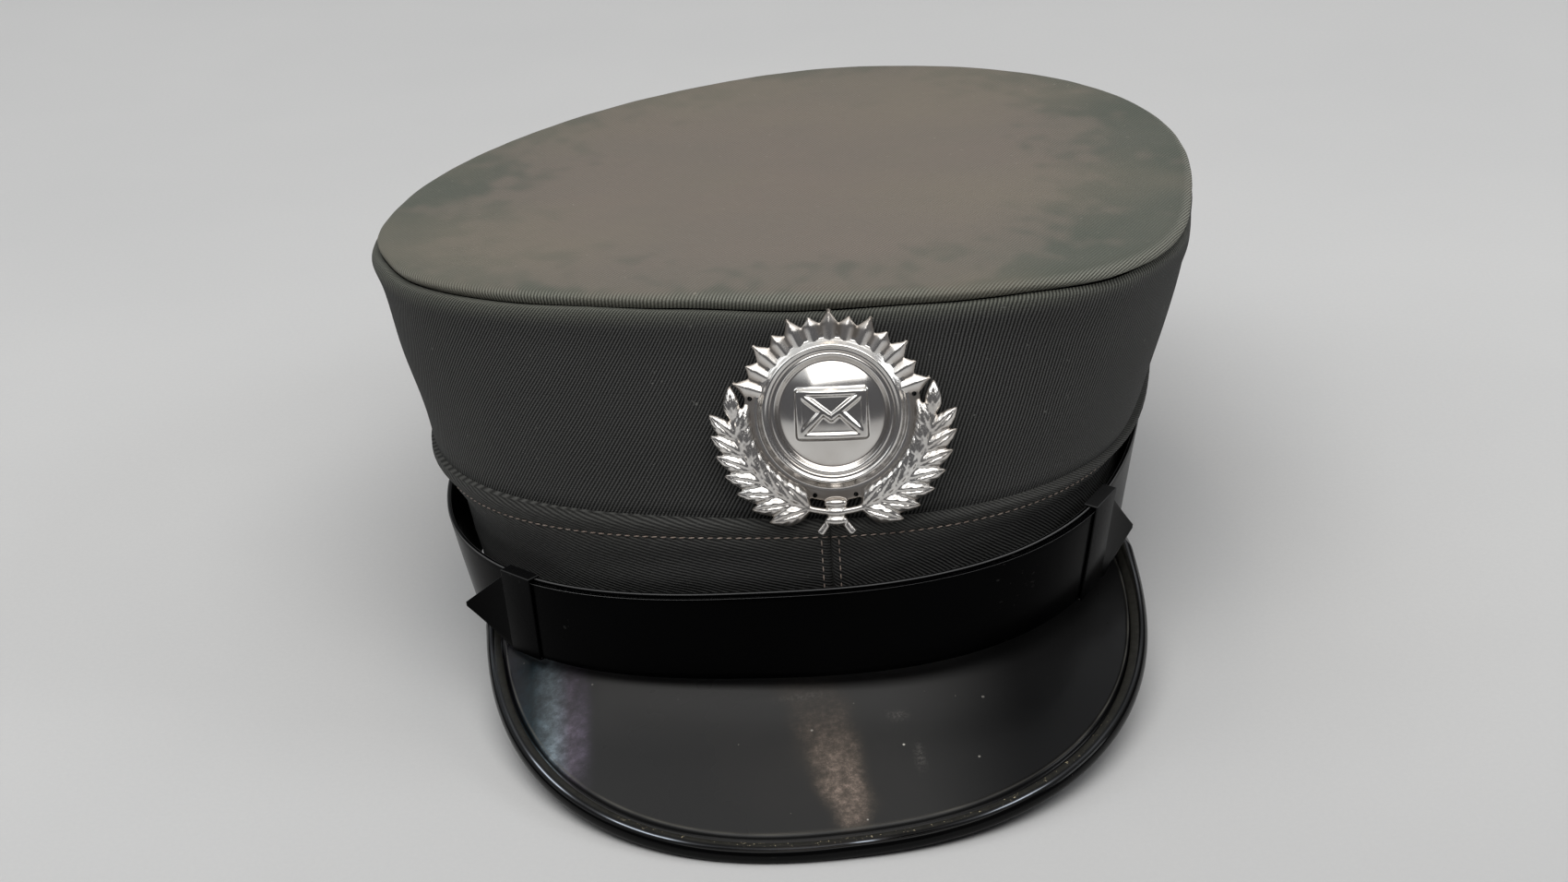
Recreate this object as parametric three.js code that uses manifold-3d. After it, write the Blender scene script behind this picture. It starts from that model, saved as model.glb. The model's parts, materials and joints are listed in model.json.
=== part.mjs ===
import * as THREE from 'three';
import { mergeVertices } from 'three/addons/utils/BufferGeometryUtils.js';
import Module from 'manifold-3d';

const wasm = await Module();
wasm.setup();

// A stiff peaked cap in millimetres. It is drawn level, its front toward -Y and its lower rim at Z = 0,
// and the whole cap is tipped back at the end, as it lies on a table on its peak and the back of its rim.

// The cap is old and has gone out of true: its oval is turned clockwise from above, away from the peak.
const ovalTurn = THREE.MathUtils.degToRad(-12);

// Outlines of the cap at its levels. halfWidth, front and back are reaches from the centre. The four
// squareness columns say how full each corner is: 2 is an ellipse, and more is squarer. sideRise lifts
// the wearer's left side, backSlope is the climb toward the back, and frontDip lowers the front.
const outlines = {
  rim: {
    height: 0, sideRise: 0, backSlope: 0, frontDip: 0,
    centreX: 0, centreY: 0, halfWidth: 73.5, front: 97.2, back: 96,
    frontLeft: 2.45, frontRight: 2.7, backLeft: 2.2, backRight: 2.2,
  },
  waist: {
    height: 26, sideRise: 1.6, backSlope: 0, frontDip: 0,
    centreX: 0, centreY: 0, halfWidth: 78, front: 98.6, back: 98.4,
    frontLeft: 2.45, frontRight: 2.75, backLeft: 2.2, backRight: 2.2,
  },
  fold: {
    height: 34.7, sideRise: -1.9, backSlope: 0, frontDip: 0,
    centreX: 0, centreY: 0, halfWidth: 83, front: 99.4, back: 100,
    frontLeft: 2.8, frontRight: 2.8, backLeft: 2.2, backRight: 2.2,
  },
  edge: {
    height: 80.8, sideRise: 0, backSlope: 0.01, frontDip: 0,
    centreX: 0.6, centreY: -9, halfWidth: 93.6, front: 78, back: 129,
    frontLeft: 2.8, frontRight: 3.4, backLeft: 1.78, backRight: 2.25,
  },
  strapTop: {
    height: 25.6, sideRise: 3, backSlope: 0, frontDip: 5.3,
    centreX: 0, centreY: 0, halfWidth: 81, front: 101.4, back: 101,
    frontLeft: 2.6, frontRight: 3.05, backLeft: 2.2, backRight: 2.2,
  },
  strapFoot: {
    height: 6.5, sideRise: 1.8, backSlope: 0, frontDip: 5.3,
    centreX: 0, centreY: 0, halfWidth: 77.2, front: 101.8, back: 99.6,
    frontLeft: 2.6, frontRight: 3.05, backLeft: 2.2, backRight: 2.2,
  },
};
const segments = 76;

// Crown and band.
const clothWall = 2;
const bandRimWall = 2.8;
const bandFoldWall = 1.3;
const bandStepDrop = 7.5;
const tuckDrop = 6.2;
const pieceGap = 0.3;
const waistDrop = outlines.fold.height - outlines.waist.height;
const rimDrop = outlines.fold.height - outlines.rim.height;
const cornerReach = 5.5;
const sideBulge = 1.2;
const topDish = 2.6;
const topCentre = { x: 4, y: 8 };
const seamHalfGap = 0.4;

// The seam between side and top, round the cap: turn is in degrees, 0 at the viewer's right and -90 at
// the front, and run is how far it lies from the top edge, below 0 on the side and above 0 on the top.
const seamRows = [
  { turn: -180, run: -1.5 },
  { turn: -163, run: -0.6 },
  { turn: -151, run: 0.3 },
  { turn: -141, run: -1.6 },
  { turn: -116, run: -1.2 },
  { turn: -98, run: -1.8 },
  { turn: -80, run: -3.2 },
  { turn: -63, run: -2.2 },
  { turn: -50, run: -2 },
  { turn: -37, run: -3.7 },
  { turn: -20, run: -4 },
  { turn: 90, run: -3 },
  { turn: 180, run: -1.5 },
];

// Chin strap: one belt runs right round the cap, and a second layer over its front ends in two points.
const strapThickness = 1.3;
const layerGap = 0.35;
const frontLayerDrop = 0.8;
const strapEnds = {
  left: { keeperAngle: -118.5, tipLength: 17, flare: 1.6, tipDrop: 1.5, keeperLean: 0.03 },
  right: { keeperAngle: -40.5, tipLength: 18, flare: 1, tipDrop: 4.5, keeperLean: -0.2 },
};
const tipTaper = 12.5;
const tipWidth = 1;
const keeper = { along: 8, wall: 0.9, clearance: 0.5 };

// Peak: a leather sheet from the rim out to a bound edge.
const peak = {
  turn: 1.65, shiftX: -4.9, baseY: -55, halfWidth: 71.8, front: 86, squareness: 2.36,
  height: 2.2, sideRise: 2.2, drop: 21, dropPower: 0.9,
  sheet: 1.9, crown: 1.2, underlap: 2.4, edgeGap: 0.8, segments: 44,
};
const bindingRadius = 1.5;

// Badge: a stamped plate pinned to the crown above the fold. A domed roundel has rays above it, and two
// laurel sprays that are tied together below it.
const badge = {
  plate: 1.1, upFace: 22.4, sideways: 3, standOff: 1.2,
  roundelRadius: 15.4, innerRadius: 10.9, domeRise: 3.2, flangeRadius: 18.2,
  rays: 13, raySpread: 144, longRay: 21.4, shortRay: 20.2, rayShoulder: 18.4, rayRise: 0.9,
  stemRadius: 20.4, stemWidth: 1.5, stemStart: 6, stemFinish: 88, stemEndLength: 4.6, stemEndLean: 38,
  leafPairs: 7, leafStart: 15, leafLength: 9, leafWidth: 4.2, leafLean: 32, leafRise: 1.4,
  tie: { width: 5, height: 5.4, depth: 2.8, y: -20.4 },
  pinHole: 0.55, pins: [[-16.8, 3.4], [16.8, 3.4], [-4.2, -16.9], [4.2, -16.9]],
};

const materials = {
  cloth: new THREE.MeshStandardMaterial({ color: 0x44433f, roughness: 0.95, metalness: 0 }),
  topCloth: new THREE.MeshStandardMaterial({ color: 0x7d766c, roughness: 0.95, metalness: 0 }),
  patent: new THREE.MeshStandardMaterial({ color: 0x0c0c0d, roughness: 0.2, metalness: 0 }),
  metal: new THREE.MeshStandardMaterial({ color: 0xc9c8c6, roughness: 0.15, metalness: 1 }),
};

function turnOval(x, y) {
  return {
    x: x * Math.cos(ovalTurn) - y * Math.sin(ovalTurn),
    y: x * Math.sin(ovalTurn) + y * Math.cos(ovalTurn),
  };
}

// A point of one outline in the direction of an angle, 0 at the viewer's right and -90 degrees at the front.
function outlinePoint(row, angle) {
  const across = Math.cos(angle);
  const along = Math.sin(angle);
  const isFront = along < 0;
  const isLeft = across < 0;
  const reach = isFront ? row.front : row.back;
  const frontCorner = isLeft ? row.frontLeft : row.frontRight;
  const backCorner = isLeft ? row.backLeft : row.backRight;
  const power = isFront ? frontCorner : backCorner;
  const sum = Math.abs(across / row.halfWidth) ** power + Math.abs(along / reach) ** power;
  const radius = sum ** (-1 / power);
  const place = turnOval(row.centreX + radius * across, row.centreY + radius * along);
  const dip = row.frontDip * Math.max(0, -along) ** 2;
  const height = row.height + row.sideRise * place.x / row.halfWidth + row.backSlope * place.y - dip;
  return new THREE.Vector3(place.x, place.y, height);
}

function ringAngles(count) {
  return Array.from({ length: count }, (_, step) => step * 2 * Math.PI / count);
}

// A point on the band's outer face, a drop below the fold.
function bandPoint(angle, drop) {
  const waist = outlinePoint(outlines.waist, angle);
  if (drop < waistDrop) {
    return outlinePoint(outlines.fold, angle).lerp(waist, drop / waistDrop);
  }
  return waist.lerp(outlinePoint(outlines.rim, angle), (drop - waistDrop) / (rimDrop - waistDrop));
}

// The same point moved toward the inside of the cap, square to the outline and level.
function insetBandPoint(angle, drop, inset) {
  const step = 0.01;
  const ahead = bandPoint(angle + step, drop);
  const behind = bandPoint(angle - step, drop);
  const inward = new THREE.Vector3(behind.y - ahead.y, ahead.x - behind.x, 0).normalize();
  return bandPoint(angle, drop).addScaledVector(inward, inset);
}

// The crown's outer face over one angle. Run is the distance from the top edge: below 0 it goes down
// the side, and above 0 inward over the top. The edge itself is a rounded corner.
function crownPoint(angle, run) {
  const corner = outlinePoint(outlines.edge, angle);
  const foot = insetBandPoint(angle, 0, bandFoldWall + pieceGap);
  const centre = crownCentre();
  const down = foot.clone().sub(corner);
  const inward = centre.clone().sub(corner);
  const sideLength = down.length();
  const topLength = inward.length();
  const sidePlace = (distance) => {
    const share = distance / sideLength;
    const outward = new THREE.Vector3(Math.cos(angle), Math.sin(angle), 0);
    const swell = sideBulge * Math.sin(Math.PI * Math.min(1, share)) ** 2;
    return corner.clone().addScaledVector(down, share).addScaledVector(outward, swell);
  };
  const topPlace = (distance) => {
    const share = distance / topLength;
    const place = corner.clone().addScaledVector(inward, share);
    place.z -= topDish * Math.sin(Math.PI / 2 * share) ** 2;
    return place;
  };
  if (run <= -cornerReach) {
    return sidePlace(-run);
  }
  if (run >= cornerReach) {
    return topPlace(run);
  }
  const share = (run + cornerReach) / (2 * cornerReach);
  const start = sidePlace(cornerReach).lerp(corner, share);
  const finish = corner.clone().lerp(topPlace(cornerReach), share);
  return start.lerp(finish, share);
}

function crownCentre() {
  const height = outlines.edge.height + outlines.edge.backSlope * topCentre.y;
  return new THREE.Vector3(topCentre.x, topCentre.y, height);
}

function sideLengthAt(angle) {
  const foot = insetBandPoint(angle, 0, bandFoldWall + pieceGap);
  return foot.distanceTo(outlinePoint(outlines.edge, angle));
}

function seamRun(angle) {
  const turn = THREE.MathUtils.euclideanModulo(THREE.MathUtils.radToDeg(angle) + 180, 360) - 180;
  const next = seamRows.findIndex((row, index) => index > 0 && turn <= row.turn);
  const from = seamRows[next - 1];
  const to = seamRows[next];
  return THREE.MathUtils.lerp(from.run, to.run, THREE.MathUtils.smoothstep(turn, from.turn, to.turn));
}

// Moves every point of a grid of rows inward by the wall's thickness, square to the surface.
function offsetRows(rows, thickness, closed) {
  const last = rows.length - 1;
  const count = rows[0].length;
  return rows.map((row, rowIndex) => row.map((point, index) => {
    const before = closed ? (index + count - 1) % count : Math.max(0, index - 1);
    const after = closed ? (index + 1) % count : Math.min(count - 1, index + 1);
    const around = row[after].clone().sub(row[before]);
    const above = rows[Math.min(last, rowIndex + 1)][index];
    const below = rows[Math.max(0, rowIndex - 1)][index];
    const normal = around.cross(above.clone().sub(below)).normalize();
    return point.clone().addScaledVector(normal, -thickness);
  }));
}

// Turns triangles of points into one closed geometry with its faces pointing out.
function solidGeometry(triangles) {
  const values = [];
  let volume = 0;
  for (const [a, b, c] of triangles) {
    volume += a.dot(b.clone().cross(c));
  }
  for (const [a, b, c] of triangles) {
    const ordered = volume > 0 ? [a, b, c] : [a, c, b];
    for (const point of ordered) {
      values.push(point.x, point.y, point.z);
    }
  }
  const geometry = new THREE.BufferGeometry();
  geometry.setAttribute('position', new THREE.Float32BufferAttribute(values, 3));
  return mergeVertices(geometry, 1e-4);
}

function addQuad(triangles, a, b, c, d) {
  triangles.push([a, b, c], [a, c, d]);
}

// A wall between two grids of points. closed joins its two ends, and capped closes its last row
// over a middle point, as on a disc.
function wallGeometry(outer, inner, { closed = true, capped = false } = {}) {
  const triangles = [];
  const last = outer.length - 1;
  const count = outer[0].length;
  const spans = closed ? count : count - 1;
  for (let index = 0; index < spans; index += 1) {
    const next = (index + 1) % count;
    for (let row = 0; row < last; row += 1) {
      addQuad(triangles, outer[row][index], outer[row][next], outer[row + 1][next], outer[row + 1][index]);
      addQuad(triangles, inner[row][next], inner[row][index], inner[row + 1][index], inner[row + 1][next]);
    }
    addQuad(triangles, inner[0][index], inner[0][next], outer[0][next], outer[0][index]);
    if (!capped) {
      addQuad(triangles, outer[last][index], outer[last][next], inner[last][next], inner[last][index]);
    }
  }
  if (capped) {
    addFan(triangles, outer[last], false);
    addFan(triangles, inner[last], true);
  }
  if (!closed) {
    for (let row = 0; row < last; row += 1) {
      const end = count - 1;
      addQuad(triangles, inner[row][0], outer[row][0], outer[row + 1][0], inner[row + 1][0]);
      addQuad(triangles, outer[row][end], inner[row][end], inner[row + 1][end], outer[row + 1][end]);
    }
  }
  return solidGeometry(triangles);
}

function addFan(triangles, ring, reversed) {
  const middle = ring.reduce((sum, point) => sum.add(point), new THREE.Vector3()).divideScalar(ring.length);
  ring.forEach((point, index) => {
    const next = ring[(index + 1) % ring.length];
    triangles.push(reversed ? [next, point, middle] : [point, next, middle]);
  });
}

// The outward direction of the crown's face.
function crownNormal(angle, run) {
  const turn = 0.01;
  const step = 0.2;
  const around = crownPoint(angle + turn, run).sub(crownPoint(angle - turn, run));
  const onward = crownPoint(angle, run + step).sub(crownPoint(angle, run - step));
  return around.cross(onward).normalize();
}

// A ring of the crown, at a run that depends on the angle, with its outer and inner points.
function crownRing(runOf) {
  const angles = ringAngles(segments);
  const outer = angles.map((angle) => crownPoint(angle, runOf(angle)));
  const inner = outer.map((point, index) => {
    const angle = angles[index];
    return point.clone().addScaledVector(crownNormal(angle, runOf(angle)), -clothWall);
  });
  return { outer, inner };
}

function wallFromRings(rings, options) {
  return wallGeometry(rings.map((ring) => ring.outer), rings.map((ring) => ring.inner), options);
}

function makeCrownSide() {
  const tuckInset = bandFoldWall + pieceGap;
  const rings = [{
    outer: ringAngles(segments).map((angle) => insetBandPoint(angle, tuckDrop, tuckInset)),
    inner: ringAngles(segments).map((angle) => insetBandPoint(angle, tuckDrop, tuckInset + clothWall)),
  }];
  for (const share of [1, 0.75, 0.5, 0.28]) {
    rings.push(crownRing((angle) => -share * sideLengthAt(angle)));
  }
  for (const share of [0, 0.5, 1]) {
    rings.push(crownRing((angle) => THREE.MathUtils.lerp(-cornerReach, seamRun(angle) - seamHalfGap, share)));
  }
  return wallFromRings(rings);
}

function makeCrownTop() {
  const centre = crownCentre();
  const rings = [];
  for (const share of [0, 0.3, 0.6, 1]) {
    rings.push(crownRing((angle) => {
      return THREE.MathUtils.lerp(seamRun(angle) + seamHalfGap, cornerReach + 4, share);
    }));
  }
  for (const share of [0.3, 0.55, 0.8, 0.95]) {
    rings.push(crownRing((angle) => share * outlinePoint(outlines.edge, angle).distanceTo(centre)));
  }
  return wallFromRings(rings, { capped: true });
}

function makeHeadBand() {
  const angles = ringAngles(segments);
  const ringAt = (drop, inset) => angles.map((angle) => insetBandPoint(angle, drop, inset));
  const drops = [rimDrop, waistDrop, bandStepDrop, bandStepDrop - pieceGap, 0];
  const outer = drops.map((drop) => ringAt(drop, 0));
  const inner = drops.map((drop) => ringAt(drop, drop < bandStepDrop ? bandFoldWall : bandRimWall));
  return wallGeometry(outer, inner);
}

// A point on the outer face of the belt, from its foot (0) to its upper edge (1).
function strapPoint(angle, share) {
  const foot = outlinePoint(outlines.strapFoot, angle);
  return foot.lerp(outlinePoint(outlines.strapTop, angle), share);
}

function makeStrapLoop() {
  const angles = ringAngles(segments);
  const rows = [0, 1].map((share) => angles.map((angle) => strapPoint(angle, share)));
  return wallGeometry(rows, offsetRows(rows, strapThickness, true));
}

// The belt's own directions at an angle: along it, up its face and out from it.
function strapFrame(angle) {
  const step = 0.01;
  const along = strapPoint(angle + step, 0.5).sub(strapPoint(angle - step, 0.5)).normalize();
  const up = strapPoint(angle, 1).sub(strapPoint(angle, 0)).normalize();
  const out = along.clone().cross(up).normalize();
  return { along, up: out.clone().cross(along).normalize(), out };
}

// The front layer lies on the belt between the keepers and runs on past them into two points.
function frontLayerSection(end, direction, distance) {
  const angle = THREE.MathUtils.degToRad(end.keeperAngle);
  const frame = strapFrame(angle);
  const width = strapPoint(angle, 0).distanceTo(strapPoint(angle, 1)) - frontLayerDrop;
  const toTip = end.tipLength - distance;
  const half = THREE.MathUtils.lerp(tipWidth, width, Math.min(1, toTip / tipTaper)) / 2;
  const lift = layerGap + strapThickness + end.flare * (distance / end.tipLength) ** 2;
  const middle = strapPoint(angle, 0).addScaledVector(frame.up, width / 2);
  middle.addScaledVector(frame.along, direction * distance).addScaledVector(frame.out, lift);
  middle.addScaledVector(frame.up, -end.tipDrop * distance / end.tipLength);
  return [-half, half].map((height) => middle.clone().addScaledVector(frame.up, height));
}

function makeStrapFront() {
  const left = strapEnds.left;
  const right = strapEnds.right;
  const sections = [];
  for (const distance of [left.tipLength, left.tipLength - tipTaper, 5]) {
    sections.push(frontLayerSection(left, -1, distance));
  }
  const steps = 34;
  for (let step = 0; step <= steps; step += 1) {
    const degrees = THREE.MathUtils.lerp(left.keeperAngle, right.keeperAngle, step / steps);
    const angle = THREE.MathUtils.degToRad(degrees);
    const { up, out } = strapFrame(angle);
    const foot = strapPoint(angle, 0).addScaledVector(out, layerGap + strapThickness);
    const width = strapPoint(angle, 0).distanceTo(strapPoint(angle, 1)) - frontLayerDrop;
    sections.push([foot, foot.clone().addScaledVector(up, width)]);
  }
  for (const distance of [5, right.tipLength - tipTaper, right.tipLength]) {
    sections.push(frontLayerSection(right, 1, distance));
  }
  const rows = [0, 1].map((side) => sections.map((section) => section[side]));
  return wallGeometry(rows, offsetRows(rows, strapThickness, false), { closed: false });
}

// A keeper is a flat loop that holds both layers together.
function makeKeeper(end) {
  const angle = THREE.MathUtils.degToRad(end.keeperAngle);
  const { along, up, out } = strapFrame(angle);
  const height = strapPoint(angle, 0).distanceTo(strapPoint(angle, 1)) / 2 + keeper.clearance;
  const insideDepth = 2 * strapThickness + layerGap + 2 * keeper.clearance;
  const middleOut = (layerGap + strapThickness + keeper.clearance) - insideDepth / 2;
  const rectangle = (halfHeight, halfDepth) => [
    new THREE.Vector2(-halfDepth, -halfHeight),
    new THREE.Vector2(halfDepth, -halfHeight),
    new THREE.Vector2(halfDepth, halfHeight),
    new THREE.Vector2(-halfDepth, halfHeight),
  ];
  const shape = new THREE.Shape(rectangle(height + keeper.wall, insideDepth / 2 + keeper.wall));
  shape.holes.push(new THREE.Path(rectangle(height, insideDepth / 2)));
  const geometry = new THREE.ExtrudeGeometry(shape, { depth: keeper.along, bevelEnabled: false });
  geometry.translate(0, 0, -keeper.along / 2);
  geometry.applyMatrix4(new THREE.Matrix4().makeShear(0, 0, 0, end.keeperLean, 0, 0));
  const place = strapPoint(angle, 0.5).addScaledVector(out, middleOut);
  const basis = new THREE.Matrix4().makeBasis(out, up, out.clone().cross(up)).setPosition(place);
  geometry.applyMatrix4(basis);
  return geometry;
}

// The peak's outer edge, from its left end (0) to its right end (1).
function peakEdge(share) {
  const angle = Math.PI * (1 + share);
  const across = Math.cos(angle);
  const along = Math.sin(angle);
  const power = peak.squareness;
  const sum = Math.abs(across / peak.halfWidth) ** power + Math.abs(along / peak.front) ** power;
  const radius = sum ** (-1 / power);
  const forward = -radius * along / peak.front;
  const height = peak.height + peak.sideRise * across * radius / peak.halfWidth;
  const place = new THREE.Vector3(
    peak.shiftX + radius * across,
    peak.baseY + radius * along,
    height - peak.drop * forward ** peak.dropPower,
  );
  return place.applyAxisAngle(new THREE.Vector3(0, 0, 1), THREE.MathUtils.degToRad(peak.turn));
}

// The angle on the rim's outline that faces a point of the peak's edge.
function rimAngleToward(place) {
  const x = place.x * Math.cos(-ovalTurn) - place.y * Math.sin(-ovalTurn);
  const y = place.x * Math.sin(-ovalTurn) + place.y * Math.cos(-ovalTurn);
  return Math.atan2(y, x);
}

// Rows of the peak's upper face. The first two lie flat under the rim, and the rest fall to the edge.
function peakRows(shares) {
  const flat = peak.underlap + 0.6;
  const slopeShares = [0, 0.3, 0.65, 1];
  const rootAndOut = shares.map((share) => {
    const edge = peakEdge(share);
    const root = insetBandPoint(rimAngleToward(edge), rimDrop, peak.underlap);
    root.z = -pieceGap;
    const out = edge.clone().sub(root).setZ(0);
    const length = out.length();
    const full = Math.max(flat + 0.8, length - bindingRadius - peak.edgeGap);
    const fall = (edge.z - root.z) * (full - flat) / Math.max(full - flat, length - flat);
    return { root, direction: out.normalize(), full, fall };
  });
  const slopeRows = slopeShares.map((slopeShare) => rootAndOut.map(({ root, direction, full, fall }) => {
    const place = root.clone().addScaledVector(direction, THREE.MathUtils.lerp(flat, full, slopeShare));
    const swell = peak.crown * Math.min(1, full / 45) * Math.sin(Math.PI * slopeShare);
    place.z += fall * slopeShare + swell;
    return place;
  }));
  return [rootAndOut.map(({ root }) => root), ...slopeRows];
}

function makePeak() {
  const shares = [];
  for (let step = 0; step <= peak.segments; step += 1) {
    shares.push(THREE.MathUtils.lerp(0.012, 0.988, step / peak.segments));
  }
  const rows = peakRows(shares);
  const under = rows.map((row) => row.map((point) => point.clone().setZ(point.z - peak.sheet)));
  return wallGeometry(rows, under, { closed: false });
}

function makeBinding() {
  const points = [];
  for (let step = 0; step <= 40; step += 1) {
    const place = peakEdge(THREE.MathUtils.lerp(0.012, 0.988, step / 40));
    place.z -= peak.sheet / 2;
    points.push(place);
  }
  const route = new THREE.CatmullRomCurve3(points);
  const section = new THREE.Shape();
  section.absarc(0, 0, bindingRadius, 0, 2 * Math.PI);
  return new THREE.ExtrudeGeometry(section, {
    extrudePath: route, steps: 44, curveSegments: 5, bevelEnabled: false,
  });
}

function toManifold(geometry) {
  const bare = new THREE.BufferGeometry();
  bare.setAttribute('position', geometry.getAttribute('position').clone());
  if (geometry.index) {
    bare.setIndex(geometry.index.clone());
  }
  const merged = mergeVertices(bare, 1e-4);
  return new wasm.Manifold(new wasm.Mesh({
    numProp: 3,
    vertProperties: new Float32Array(merged.getAttribute('position').array),
    triVerts: new Uint32Array(merged.index.array),
  }));
}

function fromManifold(solid) {
  const mesh = solid.getMesh();
  const geometry = new THREE.BufferGeometry();
  geometry.setAttribute('position', new THREE.BufferAttribute(mesh.vertProperties, 3));
  geometry.setIndex(new THREE.BufferAttribute(mesh.triVerts, 1));
  return geometry;
}

// The roundel: a domed disc inside a stepped and a rounded ring, on a flat flange.
function makeRoundel() {
  const { roundelRadius: rim, innerRadius: inner, flangeRadius: flange, domeRise, plate } = badge;
  const profile = [
    [0, 0], [flange, 0], [flange, plate], [rim, plate], [rim - 0.5, plate + 1.1], [rim - 1.4, plate + 1.5],
    [rim - 2.2, plate + 1.1], [rim - 2.6, plate + 0.5], [rim - 3.1, plate + 1.2], [inner + 0.6, plate + 1.2],
    [inner, plate + 0.4], [inner * 0.75, plate + domeRise * 0.62], [inner * 0.4, plate + domeRise * 0.92],
    [0, plate + domeRise],
  ].map(([radius, rise]) => new THREE.Vector2(radius, rise));
  return new THREE.LatheGeometry(profile, 40).rotateX(Math.PI / 2);
}

// One ray: a ridged bar that widens away from the roundel's middle and ends in a point.
function makeRay(angle, reach) {
  const { plate, rayRise, rayShoulder, roundelRadius, raySpread, rays } = badge;
  const root = roundelRadius - 1.2;
  const widening = Math.tan(THREE.MathUtils.degToRad(raySpread / (rays - 1) / 2));
  const outline = [
    [root, -root * widening - 0.1],
    [rayShoulder, -rayShoulder * widening - 0.1],
    [reach, 0],
    [rayShoulder, rayShoulder * widening + 0.1],
    [root, root * widening + 0.1],
  ];
  const foot = outline.map(([x, y]) => new THREE.Vector3(x, y, 0));
  const top = foot.map((point) => point.clone().setZ(plate * 0.8));
  const crest = [root, rayShoulder].map((x) => new THREE.Vector3(x, 0, plate + rayRise));
  const triangles = [
    [top[0], top[1], crest[1]],
    [top[0], crest[1], crest[0]],
    [top[1], top[2], crest[1]],
    [top[2], top[3], crest[1]],
    [top[3], top[4], crest[0]],
    [top[3], crest[0], crest[1]],
    [top[4], top[0], crest[0]],
  ];
  foot.forEach((point, index) => {
    const next = (index + 1) % foot.length;
    addQuad(triangles, point, foot[next], top[next], top[index]);
  });
  for (let index = 1; index < foot.length - 1; index += 1) {
    triangles.push([foot[0], foot[index + 1], foot[index]]);
  }
  return solidGeometry(triangles).rotateZ(angle);
}

function makeRays() {
  const half = THREE.MathUtils.degToRad(badge.raySpread / 2);
  return Array.from({ length: badge.rays }, (_, index) => {
    const angle = Math.PI / 2 - half + index * 2 * half / (badge.rays - 1);
    return makeRay(angle, index % 2 ? badge.shortRay : badge.longRay);
  });
}

// One leaf of a laurel spray: a low pointed ridge, flat underneath, from its stalk at a place.
function makeLeaf(place, direction, size) {
  const outline = [[0, 0], [0.28, 0.8], [0.6, 1], [1, 0], [0.6, -1], [0.28, -0.8]];
  const points = outline.map(([along, across]) => new THREE.Vector3(
    along * badge.leafLength * size,
    across * badge.leafWidth * size / 2,
    0,
  ));
  const top = points.map((point) => point.clone().setZ(badge.plate * 0.8));
  const ridge = [
    new THREE.Vector3(badge.leafLength * size * 0.25, 0, badge.plate + badge.leafRise * 0.8),
    new THREE.Vector3(badge.leafLength * size * 0.62, 0, badge.plate + badge.leafRise),
  ];
  const triangles = [[top[1], ridge[1], ridge[0]], [top[5], ridge[0], ridge[1]]];
  points.forEach((point, index) => {
    const next = (index + 1) % points.length;
    addQuad(triangles, point, points[next], top[next], top[index]);
  });
  const crest = [[0, 1, 0], [1, 2, 1], [2, 3, 1], [3, 4, 1], [4, 5, 1], [5, 0, 0]];
  for (const [from, to, summit] of crest) {
    triangles.push([top[from], top[to], ridge[summit]]);
  }
  for (let index = 1; index < points.length - 1; index += 1) {
    triangles.push([points[0], points[index + 1], points[index]]);
  }
  return solidGeometry(triangles).rotateZ(direction).translate(place.x, place.y, 0);
}

// A spray climbs round one side of the roundel, its leaves in pairs along a stem that follows a circle.
function makeSpray(side) {
  const toRadians = THREE.MathUtils.degToRad;
  const { stemRadius, stemWidth, stemStart, stemFinish, leafStart, leafPairs, plate, tie } = badge;
  const stemAngle = (degrees) => -Math.PI / 2 + side * toRadians(degrees);
  const shape = new THREE.Shape();
  shape.absarc(0, 0, stemRadius + stemWidth / 2, stemAngle(-stemStart), stemAngle(stemFinish), side < 0);
  shape.absarc(0, 0, stemRadius - stemWidth / 2, stemAngle(stemFinish), stemAngle(-stemStart), side > 0);
  const depth = plate + 0.6;
  const stem = new THREE.ExtrudeGeometry(shape, { depth, bevelEnabled: false, curveSegments: 10 });
  const pieces = [stem];
  const end = new THREE.BoxGeometry(badge.stemEndLength, stemWidth, depth);
  end.translate(badge.stemEndLength / 2 + 1, 0, depth / 2);
  end.rotateZ(-Math.PI / 2 - side * toRadians(badge.stemEndLean)).translate(0, tie.y, 0);
  pieces.push(end);
  for (let index = 0; index <= leafPairs; index += 1) {
    const degrees = THREE.MathUtils.lerp(leafStart, stemFinish - 2, index / leafPairs);
    const angle = stemAngle(degrees);
    const place = { x: stemRadius * Math.cos(angle), y: stemRadius * Math.sin(angle) };
    const heading = angle + side * Math.PI / 2;
    const size = 1 - 0.15 * index / leafPairs;
    const leans = index < leafPairs ? [-badge.leafLean, badge.leafLean] : [0];
    for (const lean of leans) {
      pieces.push(makeLeaf(place, heading + toRadians(lean), size));
    }
  }
  return pieces;
}

function makeBadge() {
  const { width, height, depth, y } = badge.tie;
  const tie = new THREE.BoxGeometry(width, height, depth).translate(0, y, depth / 2);
  let body = toManifold(makeRoundel());
  for (const piece of [tie, ...makeRays(), ...makeSpray(-1), ...makeSpray(1)]) {
    body = body.add(toManifold(piece));
  }
  for (const [pinX, pinY] of badge.pins) {
    const hole = new THREE.CylinderGeometry(badge.pinHole, badge.pinHole, 20, 8).rotateX(Math.PI / 2);
    hole.translate(pinX, pinY, 0);
    body = body.subtract(toManifold(hole));
  }
  return fromManifold(body);
}

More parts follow.
